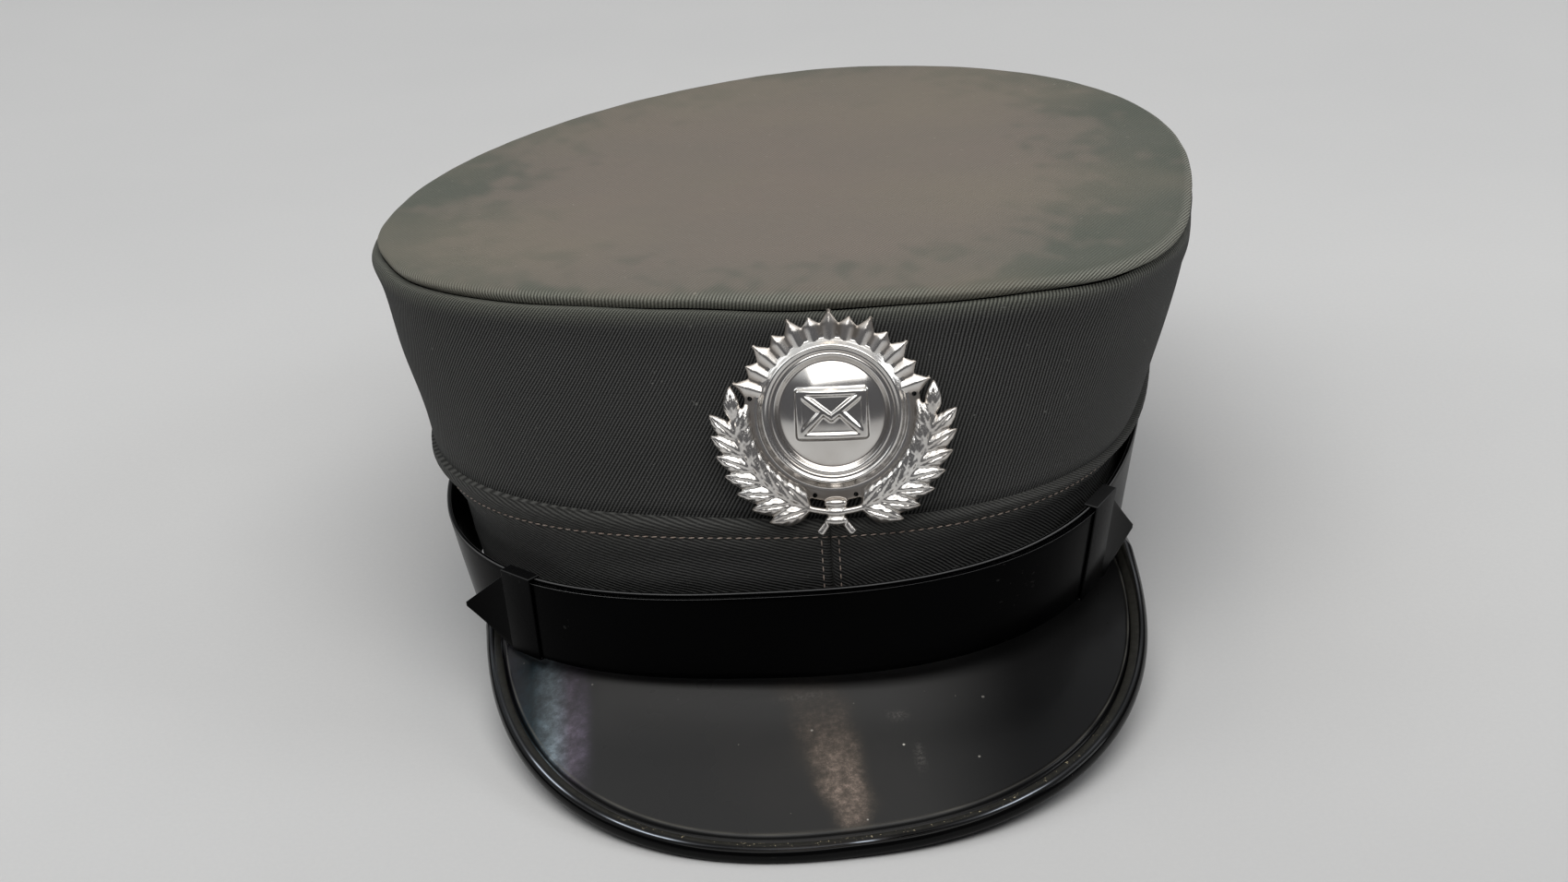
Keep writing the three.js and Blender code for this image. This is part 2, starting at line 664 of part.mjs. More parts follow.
// The badge's directions: its back lies on the crown's front face, a little up from the fold.
function badgeMatrix() {
  const frontAngle = -Math.PI / 2 - ovalTurn + badge.sideways / outlines.fold.front;
  const step = 0.08;
  const run = -(sideLengthAt(frontAngle) - badge.upFace);
  const place = crownPoint(frontAngle, run);
  const across = crownPoint(frontAngle + step, run).sub(crownPoint(frontAngle - step, run)).normalize();
  const up = crownPoint(frontAngle, run + 12).sub(crownPoint(frontAngle, run - 12)).normalize();
  const out = across.clone().cross(up).normalize();
  const trueUp = out.clone().cross(across).normalize();
  place.addScaledVector(out, badge.standOff);
  return new THREE.Matrix4().makeBasis(across, trueUp, out).setPosition(place);
}

function addPiece(group, name, geometry, material) {
  const mesh = new THREE.Mesh(geometry, material);
  mesh.name = name;
  group.add(mesh);
  return mesh;
}

const cap = new THREE.Group();
addPiece(cap, 'crown_top', makeCrownTop(), materials.topCloth);
addPiece(cap, 'crown_side', makeCrownSide(), materials.cloth);
addPiece(cap, 'head_band', makeHeadBand(), materials.cloth);
addPiece(cap, 'strap_loop', makeStrapLoop(), materials.patent);
addPiece(cap, 'strap_front', makeStrapFront(), materials.patent);
addPiece(cap, 'keeper_left', makeKeeper(strapEnds.left), materials.patent);
addPiece(cap, 'keeper_right', makeKeeper(strapEnds.right), materials.patent);
addPiece(cap, 'peak', makePeak(), materials.patent);
addPiece(cap, 'peak_binding', makeBinding(), materials.patent);
const badgeMesh = addPiece(cap, 'badge', makeBadge(), materials.metal);
badgeMesh.applyMatrix4(badgeMatrix());

// The cap tips back until the bound edge of the peak and the back of the rim are level.
function restTilt() {
  const tip = peakEdge(0.5);
  const tipFoot = tip.z - peak.sheet / 2 - bindingRadius;
  const backReach = outlinePoint(outlines.rim, Math.PI / 2).y;
  return Math.atan2(-tipFoot, backReach - tip.y);
}

cap.rotation.x = -restTilt();
const group = new THREE.Group();
group.add(cap);
group.updateMatrixWorld(true);
const bounds = new THREE.Box3().setFromObject(group, true);
const middle = bounds.getCenter(new THREE.Vector3());
cap.position.set(-middle.x, -middle.y, -bounds.min.z);

export default group;
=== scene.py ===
import json
import math
import bmesh
import bpy
from mathutils import Matrix, Vector, noise


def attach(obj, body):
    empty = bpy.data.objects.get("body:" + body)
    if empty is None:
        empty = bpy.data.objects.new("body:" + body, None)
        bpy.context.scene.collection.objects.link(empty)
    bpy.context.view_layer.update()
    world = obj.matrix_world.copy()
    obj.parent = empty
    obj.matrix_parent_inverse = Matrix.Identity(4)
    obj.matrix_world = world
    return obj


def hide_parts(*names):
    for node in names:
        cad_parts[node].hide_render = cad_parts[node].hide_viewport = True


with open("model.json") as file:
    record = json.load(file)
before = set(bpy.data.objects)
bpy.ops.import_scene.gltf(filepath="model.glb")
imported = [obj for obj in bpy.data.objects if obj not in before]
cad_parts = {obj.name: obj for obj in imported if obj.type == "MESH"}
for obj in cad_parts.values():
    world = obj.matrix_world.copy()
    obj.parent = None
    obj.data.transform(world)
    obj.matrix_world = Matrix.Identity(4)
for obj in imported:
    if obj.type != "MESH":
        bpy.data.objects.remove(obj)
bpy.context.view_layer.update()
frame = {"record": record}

print("frame loaded")

# The cap is shaped in its own space, in millimetres: its rim lies at z = 0 and its front is toward -Y.
# The record's head opening says where that space lies in the frame, with the rim tipped up in front.
opening = next(mount for mount in frame["record"]["mounts"] if mount["name"] == "head_opening")
rimTurn = Vector((0, 0, -1)).rotation_difference(Vector(opening["axis"])).to_matrix().to_4x4()
capPlace = Matrix.Translation(opening["pos_m"]) @ rimTurn @ Matrix.Scale(0.001, 4)

# The old cap's oval is skewed clockwise seen from above, away from its peak.
ovalTurn = math.radians(-12)
frontAngle = -math.pi / 2 - ovalTurn  # the front seam's angle, on the peak's axis
plainOutline = dict(sideRise=0, backSlope=0, frontDip=0, centreX=0, centreY=0, backLeft=2.2, backRight=2.2)
outlines = {
    "rim": dict(height=0, halfWidth=73.5, front=97.2, back=96, frontLeft=2.45, frontRight=2.7),
    "waist": dict(height=26, sideRise=1.6, halfWidth=78, front=98.6, back=98.4, frontLeft=2.45, frontRight=2.75),
    "fold": dict(height=34.7, sideRise=-1.9, halfWidth=83, front=99.4, back=100, frontLeft=2.8, frontRight=2.8),
    "edge": dict(height=80.8, backSlope=0.01, centreX=0.6, centreY=-9, halfWidth=93.6, front=78, back=129,
                 frontLeft=2.8, frontRight=3.4, backLeft=1.78, backRight=2.25),
    "strapTop": dict(height=25.6, sideRise=3, frontDip=5.3, halfWidth=81, front=101.4, back=101,
                     frontLeft=2.6, frontRight=3.05),
    "strapFoot": dict(height=6.5, sideRise=1.8, frontDip=5.3, halfWidth=77.2, front=101.8, back=99.6,
                      frontLeft=2.6, frontRight=3.05),
}
outlines = {name: {**plainOutline, **row} for name, row in outlines.items()}


def turned(x, y, angle):
    return x * math.cos(angle) - y * math.sin(angle), x * math.sin(angle) + y * math.cos(angle)


def aroundZero(angle):
    return (angle + math.pi) % (2 * math.pi) - math.pi


def ovalRadius(across, along, halfWidth, reach, power):
    return (abs(across / halfWidth) ** power + abs(along / reach) ** power) ** (-1 / power)


def outlinePoint(name, angle):
    # 0 is at the viewer's right and -90 degrees at the front
    row = outlines[name]
    across, along = math.cos(angle), math.sin(angle)
    end = "front" if along < 0 else "back"
    power = row[end + ("Left" if across < 0 else "Right")]
    radius = ovalRadius(across, along, row["halfWidth"], row[end], power)
    x, y = turned(row["centreX"] + radius * across, row["centreY"] + radius * along, ovalTurn)
    rise = row["sideRise"] * x / row["halfWidth"] + row["backSlope"] * y
    return Vector((x, y, row["height"] + rise - row["frontDip"] * max(0, -along) ** 2))


def smooth(value, low, high):
    share = min(1, max(0, (value - low) / (high - low)))
    return share * share * (3 - 2 * share)


def mix(low, high, share):
    return low + (high - low) * share


def hump(offset, width):
    return math.exp(-(offset / width) ** 2)


def spread(share, *stops):
    # lays rows unevenly: stops are (share of the rows, distance)
    for (lowShare, low), (highShare, high) in zip(stops, stops[1:]):
        if share <= highShare:
            return mix(low, high, (share - lowShare) / (highShare - lowShare))
    return stops[-1][1]


def wander(place, size, seed=0):
    # soft seeded unevenness, about -1 to 1
    return noise.noise(Vector(place) / size + Vector((seed * 7.3, seed * 3.1, seed * 5.7)))


# Working habits: everything is deselected first, and each finished piece has its place in its mesh.
def setMode(mode):
    bpy.ops.object.mode_set(mode=mode)


def deselectAll():
    if bpy.context.object and bpy.context.object.mode != "OBJECT":
        setMode("OBJECT")
    bpy.ops.object.select_all(action="DESELECT")


def pick(piece):
    deselectAll()
    piece.select_set(True)
    bpy.context.view_layer.objects.active = piece


def editWhole(piece):
    pick(piece)
    setMode("EDIT")
    bpy.ops.mesh.select_all(action="SELECT")


def editWhere(piece, parts, test):
    # into edit mode with only the vertices or polygons that pass the test selected
    pick(piece)
    setMode("EDIT")
    bpy.ops.mesh.select_mode(type="FACE" if parts == "polygons" else "VERT")
    bpy.ops.mesh.select_all(action="DESELECT")
    setMode("OBJECT")
    for part in getattr(piece.data, parts):
        part.select = test(part)
    setMode("EDIT")


def applyPlace():
    bpy.ops.object.transform_apply(location=True, rotation=True, scale=True)


def useModifier(piece, kind, **settings):
    pick(piece)
    modifier = piece.modifiers.new(kind.lower(), kind)
    for key, value in settings.items():
        setattr(modifier, key, value)
    bpy.ops.object.modifier_apply(modifier=modifier.name)


def bevelCorners(piece, width, degrees):
    useModifier(piece, "BEVEL", width=width, segments=3, limit_method="ANGLE", angle_limit=math.radians(degrees))


def tidyMesh(piece, distance=0.001):
    editWhole(piece)
    bpy.ops.mesh.remove_doubles(threshold=distance)
    bpy.ops.mesh.normals_make_consistent(inside=False)
    setMode("OBJECT")


def faceOut(piece, outward):
    # one face tells whether an open sheet looks the right way
    face = piece.data.polygons[len(piece.data.polygons) // 2]
    if face.normal.dot(outward(face.center)) < 0:
        editWhole(piece)
        bpy.ops.mesh.flip_normals()
        setMode("OBJECT")


def thicken(piece, thickness, outward, even=True):
    # a sheet gets its wall on its hidden side
    tidyMesh(piece, 0.01)
    faceOut(piece, outward)
    useModifier(piece, "SOLIDIFY", thickness=thickness, offset=-1, use_even_offset=even)


def fromAxis(place):
    return Vector((place.x, place.y, 0))


def straightUp(place):
    return Vector((0, 0, 1))


def addSheet(name, columns, rows, shape, shareName="rollShare"):
    # a grid primitive, each point of it laid by shape(share along, share across) -> (place, uv), and
    # a third value is kept for the point under shareName, for its material
    deselectAll()
    bpy.ops.mesh.primitive_grid_add(x_subdivisions=columns, y_subdivisions=rows, size=2, calc_uvs=True)
    sheet = bpy.context.object
    sheet.name = name
    mesh = sheet.data
    laid = [shape((vertex.co.x + 1) / 2, (vertex.co.y + 1) / 2) for vertex in mesh.vertices]
    for vertex, spot in zip(mesh.vertices, laid):
        vertex.co = spot[0]
    if len(laid[0]) > 2:
        layer = mesh.attributes.new(shareName, "FLOAT", "POINT")
        layer.data.foreach_set("value", [spot[2] for spot in laid])
    layer = mesh.uv_layers.active.data
    for loop in mesh.loops:
        layer[loop.index].uv = laid[loop.vertex_index][1]
    mesh.update()
    return sheet


def joinPieces(name, pieces):
    pick(pieces[0])
    for piece in pieces:
        piece.select_set(True)
    bpy.ops.object.join()
    joined = bpy.context.object
    joined.name = name
    applyPlace()
    return joined


def paintShare(piece, **shares):
    # stores values for each point, worked out from its place in the cap's space and its direction
    back = capPlace.inverted()
    for name, share in shares.items():
        layer = piece.data.attributes.new(name, "FLOAT", "POINT")
        for index, vertex in enumerate(piece.data.vertices):
            layer.data[index].value = share(back @ vertex.co, vertex.normal)


def finishPiece(piece, name, material, nodes, smoothAngle=40):
    piece.name = name
    piece.data.name = name
    pick(piece)
    bpy.ops.object.shade_smooth_by_angle(angle=math.radians(smoothAngle))
    piece.data.transform(capPlace @ piece.matrix_world)
    piece.matrix_world = Matrix.Identity(4)
    piece.data.materials.clear()
    piece.data.materials.append(material)
    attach(piece, "root")
    if nodes:
        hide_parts(*nodes)
    print("made", name, len(piece.data.polygons), "faces")


# Materials: a short method for each kind of node. A value is a number, a colour or a node's output.
class NodeTree:
    def __init__(self, owner):
        owner.use_nodes = True
        self.owner = owner
        self.tree = owner.node_tree
        self.shader = self.tree.nodes.get("Principled BSDF")

    def put(self, value, socket):
        if hasattr(value, "links"):
            self.tree.links.new(value, socket)
        else:
            socket.default_value = (*value, 1) if socket.type == "RGBA" else value

    def add(self, kind, **settings):
        node = self.tree.nodes.new(kind)
        for key, value in settings.items():
            if key in node.inputs:
                self.put(value, node.inputs[key])
            else:
                setattr(node, key, value)
        return node

    def compute(self, operation, *values, clamp=False):
        node = self.add("ShaderNodeMath", operation=operation, use_clamp=clamp)
        for value, socket in zip(values, node.inputs):
            self.put(value, socket)
        return node.outputs[0]

    def times(self, first, second):
        return self.compute("MULTIPLY", first, second)

    def timesPlus(self, first, second, third, clamp=False):
        return self.compute("MULTIPLY_ADD", first, second, third, clamp=clamp)

    def ramp(self, source, *stops):
        # each stop is a position and a colour, or one number for a grey
        node = self.tree.nodes.new("ShaderNodeValToRGB")
        elements = node.color_ramp.elements
        while len(elements) < len(stops):
            elements.new(0.5)
        for element, (position, color) in zip(elements, stops):
            element.position = position
            element.color = (*color, 1) if isinstance(color, tuple) else (color, color, color, 1)
        self.put(source, node.inputs[0])
        return node.outputs[0]

    def noise(self, place, scale, detail=3, roughness=0.5):
        node = self.add("ShaderNodeTexNoise", Vector=place, Scale=scale, Detail=detail, Roughness=roughness)
        return node.outputs[0]

    def mix(self, share, first, second):
        node = self.add("ShaderNodeMix", data_type="RGBA")
        self.put(share, node.inputs[0])
        colors = [socket for socket in node.inputs if socket.type == "RGBA"]
        self.put(first, colors[0])
        self.put(second, colors[1])
        return next(socket for socket in node.outputs if socket.type == "RGBA")

    def bump(self, height, strength, distance):
        # each bump goes on top of the last
        node = self.add("ShaderNodeBump", Height=height, Strength=strength, Distance=distance)
        normal = self.shader.inputs["Normal"]
        if normal.links:
            self.put(normal.links[0].from_socket, node.inputs["Normal"])
        self.put(node.outputs[0], normal)

    def attribute(self, name):
        return self.add("ShaderNodeAttribute", attribute_name=name).outputs["Fac"]

    def objectPlace(self):
        return self.add("ShaderNodeTexCoord").outputs["Object"]

    def split(self, source):
        return self.add("ShaderNodeSeparateXYZ", Vector=source).outputs

    def setShader(self, values):
        for name, value in values.items():
            self.put(value, self.shader.inputs[name])


# Cloth: a pitch is in millimetres, and the two ends of the ribs' shade are dark and light.
twill = {"threadPitch": 0.5, "threadDepth": 0.12, "warp": 2.0, "roughness": 0.92}
# rollDark and rollLight colour the rolled edges: faded, and painted lighter where they turn up to the light
clothLooks = {
    "side": dict(dark=(0.001, 0.001, 0.001), light=(0.106, 0.106, 0.103), rollDark=(0.035, 0.036, 0.03),
                 rollLight=(0.22, 0.225, 0.19), blotch=0.2, worn=(0.05, 0.05, 0.047), speck=(0.24, 0.24, 0.22),
                 sheen=0.08, sheenTint=(0.75, 0.76, 0.72), ribDepth=0.00026, lineAngle=62, pitch=0.76),
    "band": dict(dark=(0.003, 0.003, 0.003), light=(0.078, 0.078, 0.076), rollDark=(0.02, 0.02, 0.019),
                 rollLight=(0.1, 0.1, 0.094), blotch=0.2, worn=(0.035, 0.034, 0.03), speck=(0.16, 0.16, 0.15),
                 sheen=0.06, sheenTint=(0.75, 0.76, 0.72), ribDepth=0.00018, lineAngle=166, pitch=0.66),
    "top": dict(dark=(0.165, 0.139, 0.117), light=(0.25, 0.213, 0.18), rollDark=(0.05, 0.052, 0.042),
                rollLight=(0.38, 0.385, 0.33), edgeDark=(0.078, 0.087, 0.07), edgeLight=(0.125, 0.136, 0.112),
                blotch=0.3, worn=(0.16, 0.155, 0.13), speck=(0.36, 0.33, 0.28), warm=(0.215, 0.187, 0.145),
                sheen=0.1, sheenTint=(0.85, 0.8, 0.72), ribDepth=0.00012, lineAngle=60, pitch=0.76),
}


def clothMaterial(name, look):
    nodes = NodeTree(bpy.data.materials.new(name))
    # diagonal ribs on the piece's own UV map, which is in millimetres, broken up by its threads
    unrolled = nodes.add("ShaderNodeUVMap").outputs[0]
    along, across = nodes.split(unrolled)[:2]
    turn = math.radians(look["lineAngle"])
    rib = nodes.timesPlus(across, -math.cos(turn) / look["pitch"], nodes.times(along, math.sin(turn) / look["pitch"]))
    rib = nodes.timesPlus(nodes.noise(unrolled, 0.045, 2), twill["warp"], rib)
    rib = nodes.timesPlus(nodes.compute("COSINE", nodes.times(rib, 2 * math.pi)), 0.5, 0.5)
    weft = nodes.compute("COSINE", nodes.times(across, 2 * math.pi / twill["threadPitch"]))
    rib = nodes.times(rib, nodes.timesPlus(weft, twill["threadDepth"], 1 - twill["threadDepth"]))
    fuzz = nodes.noise(unrolled, 2.2, 3, 0.7)

    dark, light = look["dark"], look["light"]
    if "edgeDark" in look:
        patchy = nodes.attribute("edgeShare")
        dark = nodes.mix(patchy, dark, look["edgeDark"])
        light = nodes.mix(patchy, light, look["edgeLight"])
    # the rolled edge is faded paler and painted lighter where it turns up to the light, and its ribs stand out
    roll = nodes.attribute("rollShare")
    dark = nodes.mix(roll, dark, look["rollDark"])
    light = nodes.mix(roll, light, look["rollLight"])
    shade = nodes.compute("ADD", nodes.timesPlus(fuzz, 0.7, -0.36), rib, clamp=True)
    color = nodes.mix(shade, dark, light)

    place = nodes.objectPlace()
    blotches = nodes.ramp(nodes.noise(place, 22, 4, 0.55), (0.38, 0), (0.68, 1))
    color = nodes.mix(nodes.times(blotches, look["blotch"]), color, look["worn"])
    if "warm" in look:
        warmth = nodes.ramp(nodes.noise(place, 14), (0.4, 0), (0.62, 0.5))
        color = nodes.mix(warmth, color, look["warm"])
    specks = nodes.ramp(nodes.noise(place, 620, 2, 0.6), (0.72, 0), (0.78, 0.5))
    nodes.setShader({"Base Color": nodes.mix(specks, color, look["speck"]), "Roughness": twill["roughness"],
                     "Specular IOR Level": 0.25, "Sheen Weight": look["sheen"], "Sheen Roughness": 0.45,
                     "Sheen Tint": look["sheenTint"]})
    nodes.bump(nodes.timesPlus(fuzz, 0.5, rib), 0.9, look["ribDepth"])
    return nodes.owner


sideCloth = clothMaterial("darkTwill", clothLooks["side"])
bandCloth = clothMaterial("bandTwill", clothLooks["band"])
topCloth = clothMaterial("fadedTwill", clothLooks["top"])

patentLooks = {
    "strap": dict(base=(0.0005, 0.0005, 0.0006), haze=(0.0016, 0.0016, 0.0018), dust=0.012, specular=0.025,
                  coat=0.0, rough=0.2, wave=0.12),
    "peak": dict(base=(0.0262, 0.0262, 0.026), haze=(0.0295, 0.029, 0.0282), dust=0.16, specular=0.16,
                 coat=0.03, rough=0.27, wave=0.15),
    "binding": dict(base=(0.0008, 0.0008, 0.0009), haze=(0.002, 0.002, 0.0019), dust=0.05, specular=0.13,
                    coat=0.03, rough=0.14, wave=0.15),
}


def strapWearAndHighlight(nodes, place, color, rough, coat):
    # the upper cut edge is paler raw leather, and its grey is also a painted highlight
    cut = nodes.attribute("cutShare")
    return nodes.mix(cut, color, (0.3, 0.3, 0.3)), nodes.timesPlus(cut, 0.4, rough), coat


def peakWearAndPaintedLight(nodes, place, color, rough, coat):
    # painted shade at one side, a painted bluish reflection at the other and a painted brown reflection streak in the
    # middle
    # painted shade
    color = nodes.mix(nodes.attribute("deepShare"), color, (0.003, 0.003, 0.0032))
    # painted light along the strap
    color = nodes.mix(nodes.attribute("rootShare"), color, (0.06, 0.059, 0.058))
    clouds = nodes.ramp(nodes.noise(place, 260, 7, 0.8), (0.38, 0.25), (0.5, 0.5), (0.64, 1))
    # painted reflection, from the edge inward: purple, teal, a bluish bloom, and purple again
    tint = nodes.ramp(nodes.attribute("tintShare"), (0.2, (0.016, 0.012, 0.026)), (0.42, (0.016, 0.042, 0.055)),
                      (0.6, (0.26, 0.32, 0.36)), (0.75, (0.155, 0.13, 0.17)), (0.95, (0.095, 0.08, 0.115)))
    color = nodes.mix(nodes.times(nodes.attribute("hazeShare"), clouds), color, tint)
    # painted warm reflection: a brown streak, with brighter veins that also make it rougher
    streak = nodes.attribute("rubShare")
    color = nodes.mix(nodes.times(streak, 0.4), color, (0.06, 0.05, 0.034))
    veins = nodes.ramp(nodes.noise(place, 620, 7, 0.85), (0.4, 0.15), (0.52, 0.42), (0.64, 1))
    veinedGlowAndWear = nodes.times(nodes.times(streak, streak), veins)
    color = nodes.mix(veinedGlowAndWear, color, (0.3, 0.23, 0.19))
    scuffLines = nodes.ramp(nodes.noise(place, 1500, 4, 0.8), (0.48, 0.05), (0.58, 0.6))
    color = nodes.mix(nodes.times(nodes.attribute("scuffShare"), scuffLines), color, (0.14, 0.13, 0.12))
    # darker in the groove and paler on the line beside it
    groove = nodes.attribute("grooveShare")
    color = nodes.mix(nodes.compute("MULTIPLY", groove, -1, clamp=True), color, (0.0005, 0.0005, 0.0005))
    color = nodes.mix(nodes.compute("MAXIMUM", groove, 0), color, (0.11, 0.105, 0.09))
    return color, nodes.timesPlus(veinedGlowAndWear, 0.25, rough), coat


def bindingWearAndHighlight(nodes, place, color, rough, coat):
    # the strip on the sheet is rubbed dull, with golden chips where the coating has gone
    strip = nodes.attribute("stripShare")
    crackle = nodes.noise(place, 620, 5, 0.75)
    dull = nodes.mix(crackle, (0.004, 0.004, 0.0035), (0.046, 0.044, 0.037))
    color = nodes.mix(nodes.times(strip, 0.85), color, dull)
    chips = nodes.timesPlus(nodes.noise(place, 170, 2), 0.35, nodes.noise(place, 1300, 3, 0.7))
    chips = nodes.times(nodes.ramp(chips, (0.81, 0), (0.85, 1)), nodes.attribute("chipShare"))
    color = nodes.mix(chips, color, (0.42, 0.36, 0.24))
    # painted highlight: a thin bright line on the bead's crest, bluish where brightest
    line = nodes.attribute("lineShare")
    color = nodes.mix(line, color, nodes.ramp(line, (0.4, (0.15, 0.155, 0.165)), (0.95, (0.72, 0.8, 0.92))))
    nodes.bump(nodes.times(crackle, strip), 0.6, 0.0002)
    return color, nodes.timesPlus(strip, 0.3, rough), nodes.timesPlus(strip, -coat, coat)


def patentMaterial(name, look, wearAndLight):
    nodes = NodeTree(bpy.data.materials.new(name))
    place = nodes.objectPlace()
    haze = nodes.ramp(nodes.noise(place, 18, 4, 0.6), (0.35, 0), (0.75, 1))
    color = nodes.mix(haze, look["base"], look["haze"])
    rough = nodes.timesPlus(haze, 0.08, look["rough"])
    # fine scratches along the leather, in a few worn places
    stretched = nodes.add("ShaderNodeMapping", Vector=place, Scale=(60, 900, 900)).outputs[0]
    hair = nodes.ramp(nodes.noise(stretched, 1.0, 2), (0.66, 0), (0.7, 1))
    scratch = nodes.times(hair, nodes.ramp(nodes.noise(place, 45, 2), (0.6, 0), (0.72, 1)))
    color = nodes.mix(nodes.times(scratch, 0.5), color, (0.05, 0.048, 0.045))
    rough = nodes.timesPlus(scratch, 0.2, rough)
    # dust: one speck in a few of the cells
    grains = nodes.add("ShaderNodeTexVoronoi", Vector=place, Scale=330.0)
    parts = nodes.add("ShaderNodeSeparateColor", Color=grains.outputs["Color"]).outputs
    rare = nodes.compute("GREATER_THAN", parts[0], 1 - look["dust"])
    grainSize = nodes.timesPlus(parts[1], 0.07, 0.05)
    dust = nodes.times(rare, nodes.compute("LESS_THAN", grains.outputs["Distance"], grainSize))
    color = nodes.mix(dust, color, (0.5, 0.48, 0.43))
    rough = nodes.timesPlus(dust, 0.5, rough)

    # the wear functions also paint highlights, reflections and shade
    color, rough, coat = wearAndLight(nodes, place, color, rough, look["coat"])
    nodes.setShader({"Base Color": color, "Roughness": rough, "Specular IOR Level": look["specular"],
                     "Coat Weight": coat, "Coat Roughness": 0.07})
    nodes.bump(nodes.noise(place, 60, 2), look["wave"], 0.001)
    nodes.bump(nodes.noise(place, 1100, 3, 0.6), 0.1, 0.00006)
    return nodes.owner


strapPatent = patentMaterial("strapPatent", patentLooks["strap"], strapWearAndHighlight)
peakPatent = patentMaterial("peakPatent", patentLooks["peak"], peakWearAndPaintedLight)
bindingPatent = patentMaterial("bindingPatent", patentLooks["binding"], bindingWearAndHighlight)


def threadMaterial():
    nodes = NodeTree(bpy.data.materials.new("sewingThread"))
    place = nodes.objectPlace()
    color = nodes.ramp(nodes.noise(place, 300, 3, 0.6), (0.3, (0.27, 0.2, 0.165)), (0.7, (0.5, 0.41, 0.355)))
    nodes.setShader({"Base Color": color, "Roughness": 0.8})
    nodes.bump(nodes.noise(place, 2600, 2), 0.5, 0.0001)
    return nodes.owner


def silverMaterial():
    nodes = NodeTree(bpy.data.materials.new("polishedSilver"))
    place = nodes.objectPlace()
    # tarnish gathers in the hollows, and the dome is polished
    level = nodes.timesPlus(nodes.attribute("hollowShare"), 0.45, nodes.noise(place, 70))
    color = nodes.ramp(level, (0.35, (0.86, 0.84, 0.81)), (0.7, (0.66, 0.62, 0.58)), (1.0, (0.36, 0.32, 0.28)))
    rough = nodes.timesPlus(nodes.attribute("domeShare"), -0.08, nodes.ramp(level, (0.35, 0.22), (0.95, 0.38)))
    nodes.setShader({"Base Color": color, "Metallic": 1.0, "Roughness": rough})
    nodes.bump(nodes.noise(place, 90, 2), 0.04, 0.0004)
    return nodes.owner


thread = threadMaterial()
silver = silverMaterial()
print("materials ready")

# Crown and band, the same walls as in the frame but finer.
cloth = {
    "wall": 2.0, "foldWall": 1.3, "gap": 0.3, "tuckDrop": 6.2, "cornerReach": 5.5, "sideBulge": 1.2,
    "topDish": 2.6, "topCentre": (4, 8), "seamHalfGap": 0.25, "columns": 420,
    # how deep the seam is sunk, and how high the soft waves and the small ones by the seam are
    "sideSink": 1.5, "sideWave": 0.55, "sideRipple": 0.25, "topSink": 1.7, "topWave": 0.6, "topRipple": 0.2,
    "stitchDrop": 3.9, "stitchSink": 0.4, "pucker": 0.13, "puckerPitch": 5.1, "bandWave": 0.4,
}
waistDrop = outlines["fold"]["height"] - outlines["waist"]["height"]
rimDrop = outlines["fold"]["height"] - outlines["rim"]["height"]

# the seam between side and top, round the cap: (degrees from the viewer's right, run from the top edge)
seamRows = [(-180, -1.5), (-163, -0.6), (-151, 0.3), (-141, -1.6), (-116, -1.2), (-98, -1.8), (-80, -3.2),
            (-63, -2.2), (-50, -2), (-37, -3.7), (-20, -4), (90, -3), (180, -1.5)]


def bandPoint(angle, drop):
    waist = outlinePoint("waist", angle)
    if drop < waistDrop:
        return outlinePoint("fold", angle).lerp(waist, drop / waistDrop)
    return waist.lerp(outlinePoint("rim", angle), (drop - waistDrop) / (rimDrop - waistDrop))


def bandOut(angle, drop):
    # level, square to the band and away from the head
    step = bandPoint(angle + 0.01, drop) - bandPoint(angle - 0.01, drop)
    return Vector((step.y, -step.x, 0)).normalized()


def insetBandPoint(angle, drop, inset):
    return bandPoint(angle, drop) - bandOut(angle, drop) * inset


def sideFoot(angle, drop=0):
    return insetBandPoint(angle, drop, cloth["foldWall"] + cloth["gap"])


def sideLength(angle):
    return (sideFoot(angle) - outlinePoint("edge", angle)).length


def crownCentre():
    x, y = cloth["topCentre"]
    return Vector((x, y, outlines["edge"]["height"] + outlines["edge"]["backSlope"] * y))


def crownPoint(angle, run):
    # run is the distance from the top edge: down the side below 0, inward over the top above 0
    corner = outlinePoint("edge", angle)
    down = sideFoot(angle) - corner
    inward = crownCentre() - corner
    outward = Vector((math.cos(angle), math.sin(angle), 0))
    reach = cloth["cornerReach"]

    def sidePlace(distance):
        share = distance / down.length
        return corner + down * share + outward * cloth["sideBulge"] * math.sin(math.pi * min(1, share)) ** 2

    def topPlace(distance):
        share = distance / inward.length
        place = corner + inward * share
        place.z -= cloth["topDish"] * math.sin(math.pi / 2 * share) ** 2
        return place

    if run <= -reach:
        return sidePlace(-run)
    if run >= reach:
        return topPlace(run)
    share = (run + reach) / (2 * reach)
    start = sidePlace(reach).lerp(corner, share)
    return start.lerp(corner.lerp(topPlace(reach), share), share)


def crownNormal(angle, run):
    around = crownPoint(angle + 0.01, run) - crownPoint(angle - 0.01, run)
    onward = crownPoint(angle, run + 0.2) - crownPoint(angle, run - 0.2)
    return around.cross(onward).normalized()


def seamRun(angle):
    degrees = math.degrees(aroundZero(angle))
    for (lowTurn, low), (highTurn, high) in zip(seamRows, seamRows[1:]):
        if degrees <= highTurn:
            return mix(low, high, smooth(degrees, lowTurn, highTurn))
    return seamRows[-1][1]


arcSteps = 720


def foldLengths(side):
    # lengths along the fold, from the front seam to the middle of the back
    lengths, last = [0], outlinePoint("fold", frontAngle)
    for step in range(1, arcSteps + 1):
        here = outlinePoint("fold", frontAngle + side * step * math.pi / arcSteps)
        lengths.append(lengths[-1] + (here - last).length)
        last = here
    return lengths


foldArc = {side: foldLengths(side) for side in (-1, 1)}


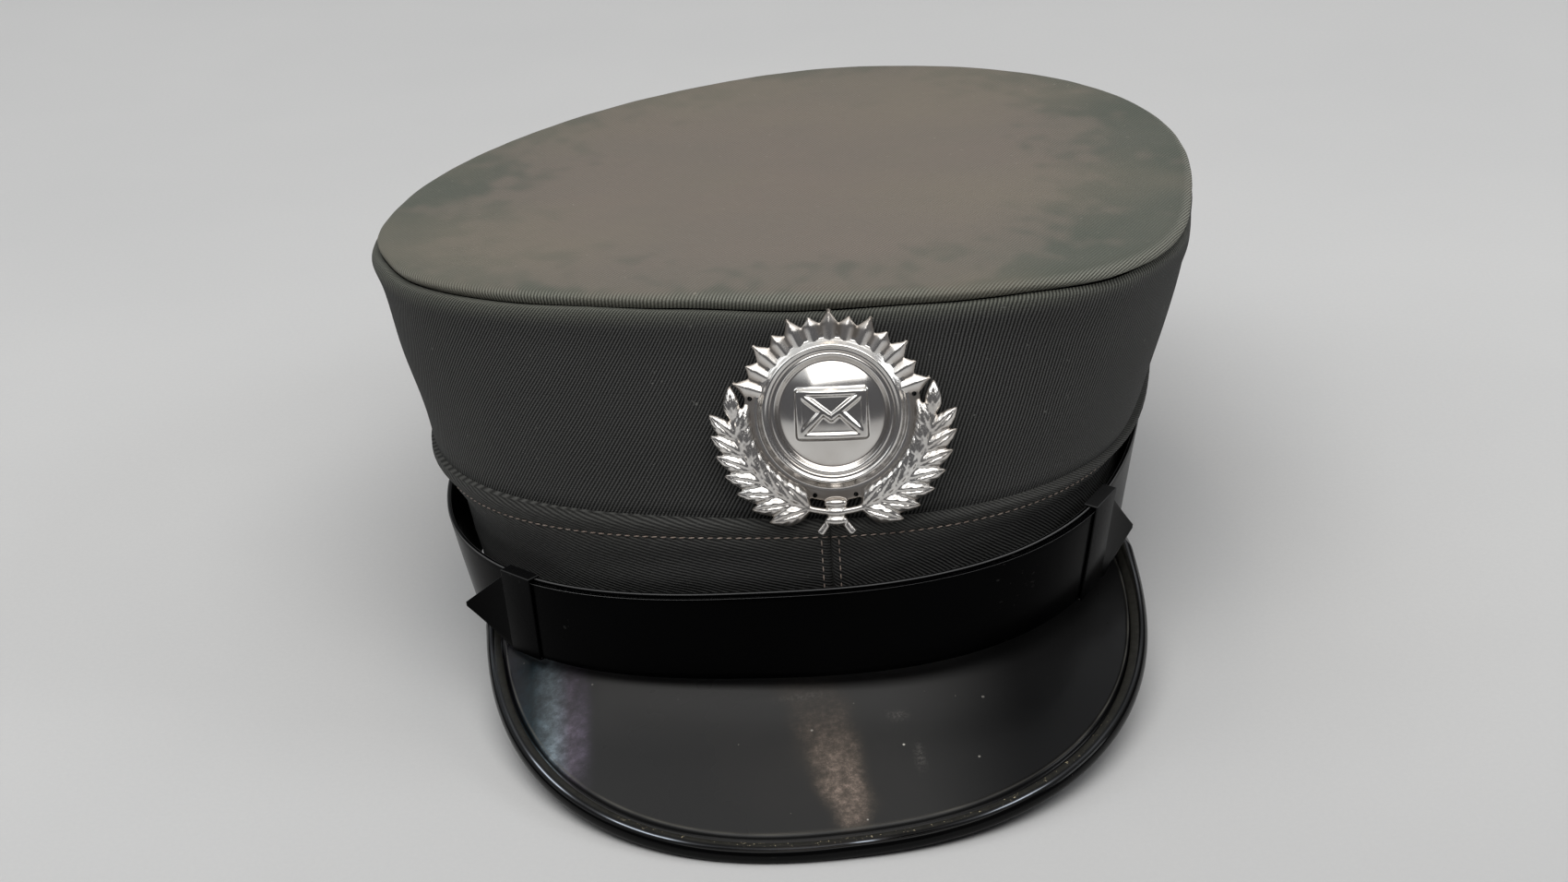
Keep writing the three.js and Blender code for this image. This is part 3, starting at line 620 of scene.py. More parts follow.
def arcAt(angle):
    turn = aroundZero(angle - frontAngle)
    side = 1 if turn >= 0 else -1
    place = abs(turn) / math.pi * arcSteps
    low = min(int(place), arcSteps - 1)
    return side * mix(foldArc[side][low], foldArc[side][low + 1], place - low)


def roundAngle(share, crowding=0.4):
    # a sheet round the cap starts and ends at the middle of the back, and is finer toward the front
    return frontAngle + math.pi + 2 * math.pi * share + crowding * math.sin(2 * math.pi * share)


def makeCrownSide():
    def shape(share, across):
        angle = roundAngle(share)
        length = sideLength(angle)
        end = seamRun(angle) - cloth["seamHalfGap"]
        run = spread(across, (0, -length - cloth["tuckDrop"]), (0.06, -length), (0.2, -length + 4),
                     (0.7, end - 7), (1, end))
        arc = arcAt(angle)
        if run <= -length:
            return sideFoot(angle, -length - run), (arc, run), 0
        place = crownPoint(angle, run)
        toSeam = end - run
        # the cloth fills out below the sewn edge and turns in at it, and hangs in soft uneven waves
        swell = 0.5 * hump(toSeam - 4.5, 3.5) - cloth["sideSink"] * hump(toSeam, 0.8)
        swell += cloth["sideWave"] * wander((place.x, place.y, place.z * 1.6), 27, 1)
        swell += cloth["sideRipple"] * wander(place, 10, 2) * math.exp(-toSeam / 10)
        swell -= 0.35 * hump(run + length, 1.6)
        # the front seam leans a little and its two sides stand up
        seamLine = arc - mix(0.6, 3.6, (run + length) / length)
        swell += 0.12 * (hump(seamLine - 2.2, 1.4) + hump(seamLine + 2.2, 1.4)) - 0.45 * hump(seamLine, 0.5)
        # the third value marks the rolled edge under the seam, faded and painted lighter where it turns up to the
        # light
        return place + crownNormal(angle, run) * swell, (arc, run), smooth(run, -7.5, -2.5)

    side = addSheet("crownSide", cloth["columns"], 64, shape)
    thicken(side, cloth["wall"], fromAxis)
    finishPiece(side, "crown_side_cloth", sideCloth, ["crown_side"])


def makeCrownTop():
    centre = crownCentre()

    def fromCentre(place):
        return Vector((place.x - centre.x, place.y - centre.y))

    def shape(share, across):
        angle = roundAngle(share)
        full = (outlinePoint("edge", angle) - centre).length
        start = seamRun(angle) + cloth["seamHalfGap"]
        run = spread(across, (0, start), (0.35, start + 9), (0.55, 26), (1, full * 0.997))
        place = crownPoint(angle, run)
        fromSeam = run - start
        swell = 0.35 * hump(fromSeam - 2.8, 2.2) - cloth["topSink"] * hump(fromSeam, 0.75)
        swell += cloth["topWave"] * wander((place.x, place.y, 0), 34, 3) * smooth(fromSeam, 2, 14)
        swell += cloth["topRipple"] * wander(place, 8, 4) * math.exp(-fromSeam / 6)
        unrolled = fromCentre(place).normalized() * (full - run)
        # the third value marks the edge rolled over beside the seam, faded and painted lighter as a highlight
        return place + crownNormal(angle, run) * swell, tuple(unrolled), 1 - smooth(run, -0.5, 3)

    top = addSheet("crownTop", cloth["columns"], 60, shape)
    thicken(top, cloth["wall"], straightUp)
    # the small opening that the rows leave in the middle is closed on both faces
    editWhere(top, "vertices", lambda vertex: fromCentre(vertex.co).length < 0.8)
    bpy.ops.mesh.remove_doubles(threshold=1.5)
    setMode("OBJECT")
    finishPiece(top, "crown_top_cloth", topCloth, ["crown_top"])

    def edgeShade(place, normal):
        # the fading is greener in patches toward the edge, mostly at the sides and in front
        x, y = turned(place.x - centre.x, place.y - centre.y, -ovalTurn)
        reach = math.hypot(x / (82 if x > 0 else 90), y / 122)
        ragged = 0.24 * wander((place.x, place.y, 0), 15, 5) + 0.26 * wander((place.x, place.y * 0.6, 0), 4.5, 6)
        return 0.45 * smooth(reach, 0.5, 1.05) + 0.55 * smooth(reach + ragged, 0.68, 1.0)

    paintShare(top, edgeShare=edgeShade)


def makeHeadBand():
    def shape(share, across):
        angle = roundAngle(share, 0.6)
        drop = spread(1 - across, (0, 0), (0.18, 2.2), (0.46, 6.2), (0.8, 20), (1, rimDrop))
        place = bandPoint(angle, drop)
        arc = arcAt(angle)
        # the fold rolls over at the top, and the stitches pull the cloth in below it
        below = drop - cloth["stitchDrop"]
        swell = 0.35 * hump(drop - 1.9, 1.3) - 0.8 * hump(drop, 0.8) - cloth["stitchSink"] * hump(below, 0.55)
        pucker = math.cos(2 * math.pi * arc / cloth["puckerPitch"] + 2.5 * wander(place, 14, 7))
        swell += cloth["pucker"] * hump(below, 1.7) * pucker
        wave = cloth["bandWave"] * wander((place.x, place.y, place.z * 3), 16, 8) + 0.16 * wander(place, 6, 9)
        swell += smooth(drop, 5, 9) * wave
        # front seam: two pressed edges with a groove between them
        swell += 0.25 * (hump(arc - 1.3, 0.8) + hump(arc + 1.3, 0.8)) * smooth(drop, 0, 2) - 0.6 * hump(arc, 0.35)
        # the third value marks the fold's top, faded and painted lighter where it turns up to the light
        return place + bandOut(angle, drop) * swell, (arc, -drop), 1 - smooth(drop, 3, 8)

    band = addSheet("headBand", cloth["columns"] * 2, 44, shape)
    # the twill runs steeper on the right half, as on two cut pieces
    for corner in band.data.uv_layers.active.data:
        if corner.uv.x > 0:
            corner.uv = turned(*corner.uv, math.radians(20))
    thicken(band, cloth["foldWall"], fromAxis)
    finishPiece(band, "head_band_cloth", bandCloth, ["head_band"])


makeCrownSide()
makeCrownTop()
makeHeadBand()
print("cloth done")

# Straps: a whole loop, and a second layer across the front that ends in two points.
strap = {
    "thickness": 1.0, "layerGap": 0.15, "frontDrop": 0.8, "frontLength": 140, "edgeRound": 0.3, "hang": 1.9,
    "wave": 0.22, "waveSize": 24, "tipWidth": 1.0, "taper": 12.5, "keeperWall": 0.42, "keeperPlay": 0.1,
    "keeperRound": 0.36,
    "left": dict(keeper=math.radians(-118.5), tip=17, flare=1.6, tipDrop=1.5, lean=0.03, keeperLength=9.2,
                 keeperTurn=math.radians(0.4), paleShare=0.02),
    "right": dict(keeper=math.radians(-40.5), tip=18, flare=1.2, tipDrop=4.2, lean=-0.2, keeperLength=10.6,
                  keeperTurn=math.radians(-0.9), paleShare=0.05),
}


def strapPoint(angle, share):
    return outlinePoint("strapFoot", angle).lerp(outlinePoint("strapTop", angle), share)


def strapWidth(angle):
    return (strapPoint(angle, 1) - strapPoint(angle, 0)).length


def strapFrame(angle):
    along = (strapPoint(angle + 0.01, 0.5) - strapPoint(angle - 0.01, 0.5)).normalized()
    up = (strapPoint(angle, 1) - strapPoint(angle, 0)).normalized()
    out = along.cross(up).normalized()
    return along, out.cross(along).normalized(), out


# the upward-facing corner bevels: paler raw leather with a painted highlight
def cutShare(place, normal):
    return smooth(normal.z, 0.3, 0.6) * (1 - smooth(normal.z, 0.82, 0.97))


def strapWave(place, angle, bulge, across):
    # uneven along its length and a little bulged, but flat where a keeper holds it
    swell = strap["wave"] * wander(place, strap["waveSize"], 11) + bulge * math.sin(math.pi * across)
    nearKeeper = max(hump(aroundZero(angle - strap[end]["keeper"]), math.radians(5)) for end in ("left", "right"))
    return swell * (1 - nearKeeper)


def finishStrap(sheet, name, node, share):
    thicken(sheet, strap["thickness"], fromAxis)
    bevelCorners(sheet, strap["edgeRound"], 50)
    finishPiece(sheet, name, strapPatent, [node])
    paintShare(sheet, cutShare=share)


def makeStrapLoop():
    def shape(share, across):
        angle = roundAngle(share)
        place = strapPoint(angle, across)
        # behind its keepers the belt is slack and its lower edge hangs in against the band
        slack = smooth(abs(aroundZero(angle - frontAngle)), math.radians(50), math.radians(75))
        swell = strapWave(place, angle, 0.15, across) - strap["hang"] * slack * (1 - across)
        return place + strapFrame(angle)[2] * swell, (share, across)

    # the loop's upper edge gets half of the pale edge and its painted highlight
    finishStrap(addSheet("strapLoop", 360, 12, shape), "strap_loop_leather", "strap_loop",
                lambda place, normal: 0.5 * cutShare(place, normal))


def tipPlace(end, direction, distance, share):
    angle = end["keeper"]
    along, up, out = strapFrame(angle)
    width = strapWidth(angle) - strap["frontDrop"]
    half = mix(strap["tipWidth"], width, min(1, (end["tip"] - distance) / strap["taper"])) / 2
    part = distance / end["tip"]
    lift = strap["layerGap"] + strap["thickness"] + end["flare"] * part ** 2
    middle = strapPoint(angle, 0) + up * (width / 2 - end["tipDrop"] * part) + along * direction * distance
    return middle + out * lift + up * mix(-half, half, share)


def makeStrapFront():
    left, right = strap["left"], strap["right"]
    rightStart = left["tip"] + strap["frontLength"]

    def shape(share, across):
        distance = share * (rightStart + right["tip"])
        if distance < left["tip"]:
            place = tipPlace(left, -1, left["tip"] - distance, across)
        elif distance > rightStart:
            place = tipPlace(right, 1, distance - rightStart, across)
        else:
            angle = mix(left["keeper"], right["keeper"], (distance - left["tip"]) / strap["frontLength"])
            up, out = strapFrame(angle)[1:]
            place = strapPoint(angle, 0) + out * (strap["layerGap"] + strap["thickness"])
            place += up * (strapWidth(angle) - strap["frontDrop"]) * across
            place += out * strapWave(place, angle, 0.25, across)
        return place, (distance, across)

    def frontCut(place, normal):
        # the pale edge and its painted highlight are strongest beside the left keeper
        worn = mix(0.3, 1, smooth(place.x, -68, -58)) * mix(1, 0.4, smooth(place.x, -60, 30))
        return worn * cutShare(place, normal)

    finishStrap(addSheet("strapFront", 320, 14, shape), "strap_front_leather", "strap_front", frontCut)


def makeKeeper(sideName):
    end = strap[sideName]
    angle = end["keeper"] + end["keeperTurn"]
    up, out = strapFrame(angle)[1:]
    wall, play = strap["keeperWall"], strap["keeperPlay"]
    half = strapWidth(angle) / 2 + play
    depth = 2 * strap["thickness"] + strap["layerGap"] + 2 * play
    deselectAll()
    bpy.ops.mesh.primitive_cube_add(size=2)
    keeper = bpy.context.object
    keeper.scale = (depth / 2 + wall, half + wall, end["keeperLength"] / 2)
    applyPlace()
    # the two end faces are inset by the wall's thickness and bridged, so that the strap goes through
    editWhere(keeper, "polygons", lambda face: abs(face.normal.z) > 0.9)
    bpy.ops.mesh.inset(thickness=wall, use_individual=True)
    bpy.ops.mesh.bridge_edge_loops()
    setMode("OBJECT")
    bevelCorners(keeper, strap["keeperRound"], 40)
    for vertex in keeper.data.vertices:
        # the leather leans with its strap, and bows a little over the layers
        bow = 0.2 * (1 - (vertex.co.y / (half + wall)) ** 2) * (1 if vertex.co.x > 0 else 0)
        vertex.co.z += end["lean"] * vertex.co.y
        vertex.co.x += bow
    place = strapPoint(angle, 0.5) + out * (strap["layerGap"] + strap["thickness"] + play - depth / 2)
    basis = Matrix((out, up, out.cross(up))).transposed().to_4x4()
    keeper.data.transform(Matrix.Translation(place) @ basis)
    tidyMesh(keeper)
    finishPiece(keeper, "keeper_" + sideName + "_leather", strapPatent, ["keeper_" + sideName])
    # a little of the pale edge and its painted highlight, and the leather made paler toward its top
    paintShare(keeper, cutShare=lambda place, normal: 0.18 * cutShare(place, normal)
               + end["paleShare"] * smooth(place.z, 6, 26))


makeStrapLoop()
makeStrapFront()
makeKeeper("left")
makeKeeper("right")
print("straps done")

# Peak
peak = {
    "turn": math.radians(1.65), "shiftX": -4.9, "baseY": -55, "halfWidth": 71.8, "front": 86, "squareness": 2.36,
    "height": 2.2, "sideRise": 2.2, "drop": 21, "dropPower": 0.9, "sheet": 1.9, "crown": 1.2, "underlap": 2.4,
    "groove": 2.85, "grooveWidth": 0.3, "grooveDepth": 0.5, "start": -0.01, "finish": 1.03,
    # the binding's section: outward from the edge and up from the middle of the sheet
    "binding": [(-2.3, 0.98), (-2.24, 1.18), (-1.95, 1.34), (-1.4, 1.42), (-0.85, 1.44), (-0.45, 1.42),
                (-0.05, 1.6), (0.4, 1.58), (0.8, 1.3), (1.15, 0.8), (1.38, 0.15), (1.4, -0.45), (1.2, -1.0),
                (0.75, -1.34), (0.1, -1.46), (-1.2, -1.42), (-2.2, -1.35)],
    "bindingWall": 0.4,
    # scuffed spots on the sheet: (x, y, half width, half depth)
    "scuffs": [(14.6, -122.6, 0.8, 2.8), (-8, -104.6, 5, 0.9), (11, -112, 1.8, 1.2)],
    # painted highlights on the bead: (x, y, reach)
    "glints": [(-64, -112, 8), (-42, -130, 9), (1.5, -141, 3), (33, -133, 9)],
}


def peakEdge(share):
    # the bound edge runs on under the strap's ends
    angle = math.pi * (1 + mix(peak["start"], peak["finish"], share))
    across, along = math.cos(angle), math.sin(angle)
    radius = ovalRadius(across, along, peak["halfWidth"], peak["front"], peak["squareness"])
    forward = max(0, -radius * along / peak["front"])
    height = peak["height"] + peak["sideRise"] * across * radius / peak["halfWidth"]
    x, y = turned(peak["shiftX"] + radius * across, peak["baseY"] + radius * along, peak["turn"])
    return Vector((x, y, height - peak["drop"] * forward ** peak["dropPower"]))


def rimAngle(place):
    x, y = turned(place.x, place.y, -ovalTurn)
    return math.atan2(y, x)


def peakRoot(edge):
    root = insetBandPoint(rimAngle(edge), rimDrop, peak["underlap"])
    root.z = -cloth["gap"]
    return root


def makePeak():
    flat = peak["underlap"] + 0.6

    def shape(share, across):
        edge = peakEdge(share)
        root = peakRoot(edge)
        out = Vector((edge.x - root.x, edge.y - root.y, 0))
        length = out.length
        out.normalize()
        full = max(flat + 0.8, length - 0.4)
        distance = spread(across, (0, 0), (0.06, flat), (0.45, max(flat, full - 7)), (1, full))
        slopeShare = max(0, (distance - flat) / (full - flat))
        place = root + out * distance
        place.z += (edge.z - root.z) * slopeShare
        place.z += peak["crown"] * min(1, full / 45) * math.sin(math.pi * slopeShare)
        toEdge = length - distance
        fromGroove = toEdge - peak["groove"]
        dent = 0.1 * hump(fromGroove - 0.8, 0.35) - peak["grooveDepth"] * hump(fromGroove, peak["grooveWidth"])
        place.z += smooth(full, 9, 14) * dent
        place.z += smooth(toEdge, 6, 14) * 0.25 * wander((place.x, place.y, 0), 32, 13)
        # below 0 darker in the groove, above 0 paler on the line beside it
        paleShare = 0.5 * hump(fromGroove - 0.75, 0.25) * (1 + 0.8 * wander(place, 6, 34))
        return place, (share, across), paleShare - hump(fromGroove, 0.45)

    sheet = addSheet("peakSheet", 240, 110, shape, "grooveShare")
    thicken(sheet, peak["sheet"], straightUp)
    finishPiece(sheet, "peak_leather", peakPatent, ["peak"])

    def deepShare(place, normal):
        # painted shade: darker toward the right and at the far left edge
        right = smooth(place.x + 3 * wander(place, 20, 30), 10, 40)
        return right + 0.85 * (1 - smooth(place.x, -69, -59))

    def hazeShare(place, normal):
        # painted reflection: a bluish bloom on the left part of the peak
        bright = mix(0.5, 1, hump(place.y + 104, 10))
        return (1 - smooth(place.x, -55, -51.5)) * bright * (1 - smooth(-place.y, 108, 121))

    def rubShare(place, normal):
        # painted warm reflection: the streak leans to the right as it runs forward, and narrows
        forward = -102 - place.y
        middle = -6 + 0.17 * forward + 1.5 * wander(place, 9, 31)
        half = 7.6 - 0.1 * forward + 1.5 * wander(place, 5, 32)
        near = 1 - smooth(abs(place.x - middle), half - 3.5, half + 2.5)
        ends = mix(0.3, 1, smooth(forward, 0, 28)) * (1 - smooth(forward, 33, 37.5))
        return near * ends if normal.z > 0 else 0

    def rootShare(place, normal):
        # painted light: a little paler along the strap, to lift the shade under it
        fromBand = (bandPoint(rimAngle(place), rimDrop) - Vector((place.x, place.y, 0))).length
        ends = mix(1, 0.14, smooth(place.x, 5, 40)) * smooth(place.x, -62, -48)
        return (1 - smooth(fromBand, 4, 24)) * ends

    def scuffShare(place, normal):
        return max(hump(math.hypot((place.x - x) / wide, (place.y - y) / deep), 1)
                   for x, y, wide, deep in peak["scuffs"])

    # the tint runs across the painted reflection from the peak's left edge
    paintShare(sheet, deepShare=deepShare, hazeShare=hazeShare,
               tintShare=lambda place, normal: min(1, max(0, (place.x + 76) / 25)),
               rubShare=rubShare, rootShare=rootShare, scuffShare=scuffShare)


def bindingFrame(share):
    edge = peakEdge(share)
    tangent = (peakEdge(min(1, share + 0.003)) - peakEdge(max(0, share - 0.003))).normalized()
    outward = edge - peakRoot(edge)
    outward = (outward - tangent * outward.dot(tangent)).normalized()
    rise = outward.cross(tangent)
    return edge - Vector((0, 0, peak["sheet"] / 2)), outward, rise if rise.z > 0 else -rise


def makeBinding():
    section = peak["binding"]

    def shape(share, across):
        core, outward, rise = bindingFrame(share)
        spot = across * (len(section) - 1)
        low = min(int(spot), len(section) - 2)
        away, lift = (mix(start, end, spot - low) for start, end in zip(section[low], section[low + 1]))
        # the leg narrows where the peak runs out at the sides
        away = max(away, -max(1.5, (core - peakRoot(core)).length * 0.4))
        place = core + outward * away + rise * lift
        return place + rise * 0.07 * wander(place, 8, 14), (share, across)

    bead = addSheet("peakBead", 300, 48, shape)
    thicken(bead, peak["bindingWall"], straightUp, even=False)
    tidyMesh(bead)
    finishPiece(bead, "peak_binding_leather", bindingPatent, ["peak_binding"])

    def pastEdge(place):
        # millimetres past the peak's edge, nearly
        x, y = turned(place.x, place.y, -peak["turn"])
        level = 1 / ovalRadius(x - peak["shiftX"], max(0, peak["baseY"] - y), peak["halfWidth"], peak["front"],
                               peak["squareness"])
        return (level - 1) * 80

    def stripShare(place, normal):
        # 1 on the dull strip that lies on the sheet, 0 on the glossy bead
        return 1 - smooth(pastEdge(place), -0.8, -0.2)

    def lineShare(place, normal):
        # painted highlight: a thin bright line on the bead's crest, brighter in a few stretches
        crest = hump(pastEdge(place) - 0.15, 0.25) * max(0, normal.z)
        glint = max(hump(math.hypot(place.x - x, place.y - y), reach) for x, y, reach in peak["glints"])
        return crest * min(1, max(0, 0.3 + 0.4 * wander(place, 18, 33)) + glint)

    def chipShare(place, normal):
        # chipped only round the front
        return stripShare(place, normal) * smooth(place.x, -52, -34) * (1 - smooth(place.x, 44, 60))

    paintShare(bead, stripShare=stripShare, chipShare=chipShare, lineShare=lineShare)


makePeak()
makeBinding()
print("peak done")

# Badge: a domed roundel, rays above it and two tied laurel sprays, as if stamped from one plate.
badge = {
    "plate": 1.1, "upFace": 22.4, "sideways": 3.0, "standOff": 1.2, "sheet": 0.75,
    "roundel": 15.4, "dome": 10.9, "domeRise": 3.2, "ledge": 0.35, "flange": 18.2,
    "rays": 13, "raySpread": 144, "longRay": 21.4, "shortRay": 20.2, "rayShoulder": 18.4, "rayRise": 1.0,
    "stemRadius": 20.4, "stemWidth": 1.5, "stemStart": 6, "stemFinish": 88, "stemEnd": 4.6, "stemEndLean": 38,
    "leafPairs": 7, "leafStart": 15, "leafLength": 9.0, "leafWidth": 4.2, "leafLean": 32, "leafRise": 1.4,
    "tieWidth": 5.0, "tieHeight": 5.4, "tieY": -20.4,
    "pinHole": 0.5, "pins": [(-16.8, 3.4), (16.8, 3.4), (-4.2, -16.9), (4.2, -16.9)],
    "grain": 0.19, "thinning": 0.4,
    # the letter in relief on the dome: half its width and height, the flap's point and the ridge
    "letterWidth": 6.7, "letterHeight": 4.5, "flapY": -0.6, "letterRise": 0.6, "letterLine": 0.66,
}


def roundelRise(radius):
    rim, dome, low = badge["roundel"], badge["dome"], badge["plate"] + badge["ledge"]
    if radius < dome:
        return low + (badge["domeRise"] - badge["ledge"]) * (1 - (radius / dome) ** 2)
    rise = low + 0.85 * hump(radius - dome - 1.2, 0.75) + 0.35 * hump(radius - dome - 2.1, 0.3)
    rise += 1.25 * hump(radius - rim + 1.45, 0.85)
    return mix(rise, badge["plate"] + 0.1, smooth(radius, rim - 0.3, rim + 0.2))


def toLine(x, y, start, end):
    # distance from a point to a stretch of line
    along = Vector((end[0] - start[0], end[1] - start[1]))
    share = min(1, max(0, Vector((x - start[0], y - start[1])).dot(along) / along.length_squared))
    return math.hypot(x - start[0] - along.x * share, y - start[1] - along.y * share)


def letterRise(x, y):
    wide, high, flap = badge["letterWidth"], badge["letterHeight"], badge["flapY"]
    corners = [(-wide, high), (wide, high), (wide, -high), (-wide, -high)]
    lines = list(zip(corners, corners[1:] + corners[:1]))
    lines += [(corners[0], (0, flap)), (corners[1], (0, flap))]
    lines += [(corners[3], (-1.9, flap + 1.1)), (corners[2], (1.9, flap + 1.1))]
    nearest = min(toLine(x, y, start, end) for start, end in lines)
    return badge["letterRise"] * (1 - smooth(nearest, 0.25, badge["letterLine"] + 0.35))


def stampedSheet(name, columns, rows, shape, wall=badge["sheet"]):
    sheet = addSheet(name, columns, rows, shape)
    thicken(sheet, wall, straightUp, even=False)
    return sheet


def makeRoundel():
    def shape(share, across):
        angle = 2 * math.pi * share
        radius = spread(across, (0, 0.02), (0.55, badge["dome"]), (1, badge["roundel"] + 0.9))
        x, y = radius * math.cos(angle), radius * math.sin(angle)
        rise = roundelRise(radius) + (letterRise(x, y) if radius < badge["dome"] else 0)
        return Vector((x, y, rise)), (share, across)

    return stampedSheet("roundel", 200, 88, shape, 0.8)


def makeRay(angle, reach):
    root, shoulder = badge["roundel"] - 0.6, badge["rayShoulder"]
    widening = math.tan(math.radians(badge["raySpread"] / (badge["rays"] - 1) / 2))

    def shape(share, across):
        along = spread(share, (0, root), (0.6, shoulder), (1, reach))
        half = min(along, shoulder) * widening + 0.1
        if along >= shoulder:
            half = mix(half, 0.02, (along - shoulder) / (reach - shoulder))
        side = across * 2 - 1
        crest = (1 - abs(side) ** 1.3) * (1 - 0.55 * smooth(along, shoulder - 0.5, reach))
        return Vector((along, half * side, badge["plate"] * 0.75 + badge["rayRise"] * crest)), (share, across)

    ray = stampedSheet("ray", 14, 10, shape)
    ray.rotation_euler.z = angle
    return ray


def makeLeaf(place, heading, size):
    length, width = badge["leafLength"] * size, badge["leafWidth"] * size

    def shape(share, across):
        side = across * 2 - 1
        half = width / 2 * max(0.02, math.sin(math.pi * share ** 0.85)) ** 0.75
        body = math.sin(math.pi * min(1, 0.08 + share * 0.92)) ** 0.6
        veins = 0.1 * math.cos(26 * (share - 0.35 * abs(side))) * smooth(abs(side), 0.15, 0.4)
        rise = body * (badge["leafRise"] * (1 - abs(side) ** 2.2) + veins - 0.5 * hump(side, 0.14))
        rise += 0.35 * math.sin(math.pi * share) * size
        return Vector((length * share, half * side, badge["plate"] * 0.7 + rise)), (share, across)

    leaf = stampedSheet("leaf", 22, 16, shape)
    leaf.rotation_euler.z = heading
    leaf.location = (*place, 0)
    return leaf


def makeStem(side):
    # a bar is cut across many times along its length and laid on a circle round the roundel
    deselectAll()
    bpy.ops.mesh.primitive_cylinder_add(vertices=16, radius=badge["stemWidth"] / 2, depth=1,
                                        rotation=(0, math.pi / 2, 0))
    stem = bpy.context.object
    applyPlace()
    editWhole(stem)
    for step in sorted(range(-23, 24), key=abs):
        bpy.ops.mesh.select_all(action="SELECT")
        bpy.ops.mesh.bisect(plane_co=(step / 48, 0, 0), plane_no=(1, 0, 0))
    setMode("OBJECT")
    for vertex in stem.data.vertices:
        degrees = mix(-badge["stemStart"], badge["stemFinish"], vertex.co.x + 0.5)
        angle = -math.pi / 2 + side * math.radians(degrees)
        radius = badge["stemRadius"] + vertex.co.y * side
        vertex.co = radius * math.cos(angle), radius * math.sin(angle), badge["plate"] * 0.8 + vertex.co.z * 1.1
    return stem


def makeStemEnd(side):
    deselectAll()
    bpy.ops.mesh.primitive_cone_add(vertices=16, radius1=badge["stemWidth"] * 0.42, radius2=badge["stemWidth"] * 0.62,
                                    depth=badge["stemEnd"], rotation=(0, math.pi / 2, 0))
    end = bpy.context.object
    applyPlace()
    editWhole(end)
    bpy.ops.transform.translate(value=(badge["stemEnd"] / 2 + 1, 0, badge["plate"] * 0.8))
    setMode("OBJECT")
    end.rotation_euler.z = -math.pi / 2 - side * math.radians(badge["stemEndLean"])
    end.location = (0, badge["tieY"], 0)
    return end


def makeWrap(step):
    # one turn of the cord that ties the stems
    deselectAll()
    bpy.ops.mesh.primitive_uv_sphere_add(segments=32, ring_count=16, radius=1)
    wrap = bpy.context.object
    wrap.scale = (badge["tieWidth"] / 2, badge["tieHeight"] / 6 + 0.25, 1.5)
    wrap.location = (0, badge["tieY"] + step * badge["tieHeight"] / 3, badge["plate"] * 0.9)
    return wrap


def addDisc(vertices, radius, depth, place):
    deselectAll()
    bpy.ops.mesh.primitive_cylinder_add(vertices=vertices, radius=radius, depth=depth, location=place)
    return bpy.context.object


def badgePlace():
    angle = frontAngle + badge["sideways"] / outlines["fold"]["front"]
    run = -(sideLength(angle) - badge["upFace"])
    across = (crownPoint(angle + 0.08, run) - crownPoint(angle - 0.08, run)).normalized()
    upFace = (crownPoint(angle, run + 12) - crownPoint(angle, run - 12)).normalized()
    out = across.cross(upFace).normalized()
    axes = Matrix((across, out.cross(across).normalized(), out)).transposed().to_4x4()
    return Matrix.Translation(crownPoint(angle, run) + out * badge["standOff"]) @ axes


def makeBadge():
    half = math.radians(badge["raySpread"] / 2)
    parts = [addDisc(128, badge["flange"], 0.9, (0, 0, 0.65))]
    parts += [makeWrap(step) for step in (-1, 0, 1)]
    for index in range(badge["rays"]):
        angle = math.pi / 2 - half + index * 2 * half / (badge["rays"] - 1)
        parts.append(makeRay(angle, badge["shortRay"] if index % 2 else badge["longRay"]))
    for side in (-1, 1):
        parts += [makeStem(side), makeStemEnd(side)]
        for index in range(badge["leafPairs"] + 1):
            share = index / badge["leafPairs"]
            angle = -math.pi / 2 + side * math.radians(mix(badge["leafStart"], badge["stemFinish"] - 2, share))
            place = badge["stemRadius"] * math.cos(angle), badge["stemRadius"] * math.sin(angle)
            heading = angle + side * math.pi / 2
            leans = (-badge["leafLean"], badge["leafLean"]) if index < badge["leafPairs"] else (0,)
            for lean in leans:
                parts.append(makeLeaf(place, heading + math.radians(lean), 1 - 0.15 * share))
    # the parts are melted into one stamped skin, and its pin holes are punched
    field = joinPieces("badgeField", parts)
    useModifier(field, "REMESH", mode="VOXEL", voxel_size=badge["grain"], adaptivity=0)
    useModifier(field, "SMOOTH", factor=0.5, iterations=5)
    useModifier(field, "DECIMATE", ratio=badge["thinning"])
    punch = joinPieces("punch", [addDisc(24, badge["pinHole"], 12, (x, y, 0)) for x, y in badge["pins"]])
    useModifier(field, "BOOLEAN", operation="DIFFERENCE", object=punch, solver="FAST")
    bpy.data.objects.remove(punch)
    whole = joinPieces("badge", [field, makeRoundel()])
    whole.data.transform(badgePlace())
    finishPiece(whole, "badge_plate", silver, ["badge"], smoothAngle=60)
    away = badgePlace().inverted()

    def hollowShare(place, normal):
        spot = away @ place
        radius = spot.xy.length
        if radius < badge["roundel"] + 0.5:
            return 0.6 * hump(radius - badge["dome"], 0.35) + 0.6 * hump(radius - badge["roundel"] + 2.6, 0.3)
        return 1 - smooth(spot.z, badge["plate"] * 0.9, badge["plate"] * 1.6)

    paintShare(whole, hollowShare=hollowShare,
               domeShare=lambda place, normal: 1 - smooth((away @ place).xy.length, 11, 16))


makeBadge()
print("badge done")

# Stitches
stitching = {"pitch": 2.0, "length": 1.4, "thickness": 0.3, "seamGap": 1.75, "seamFoot": 12}


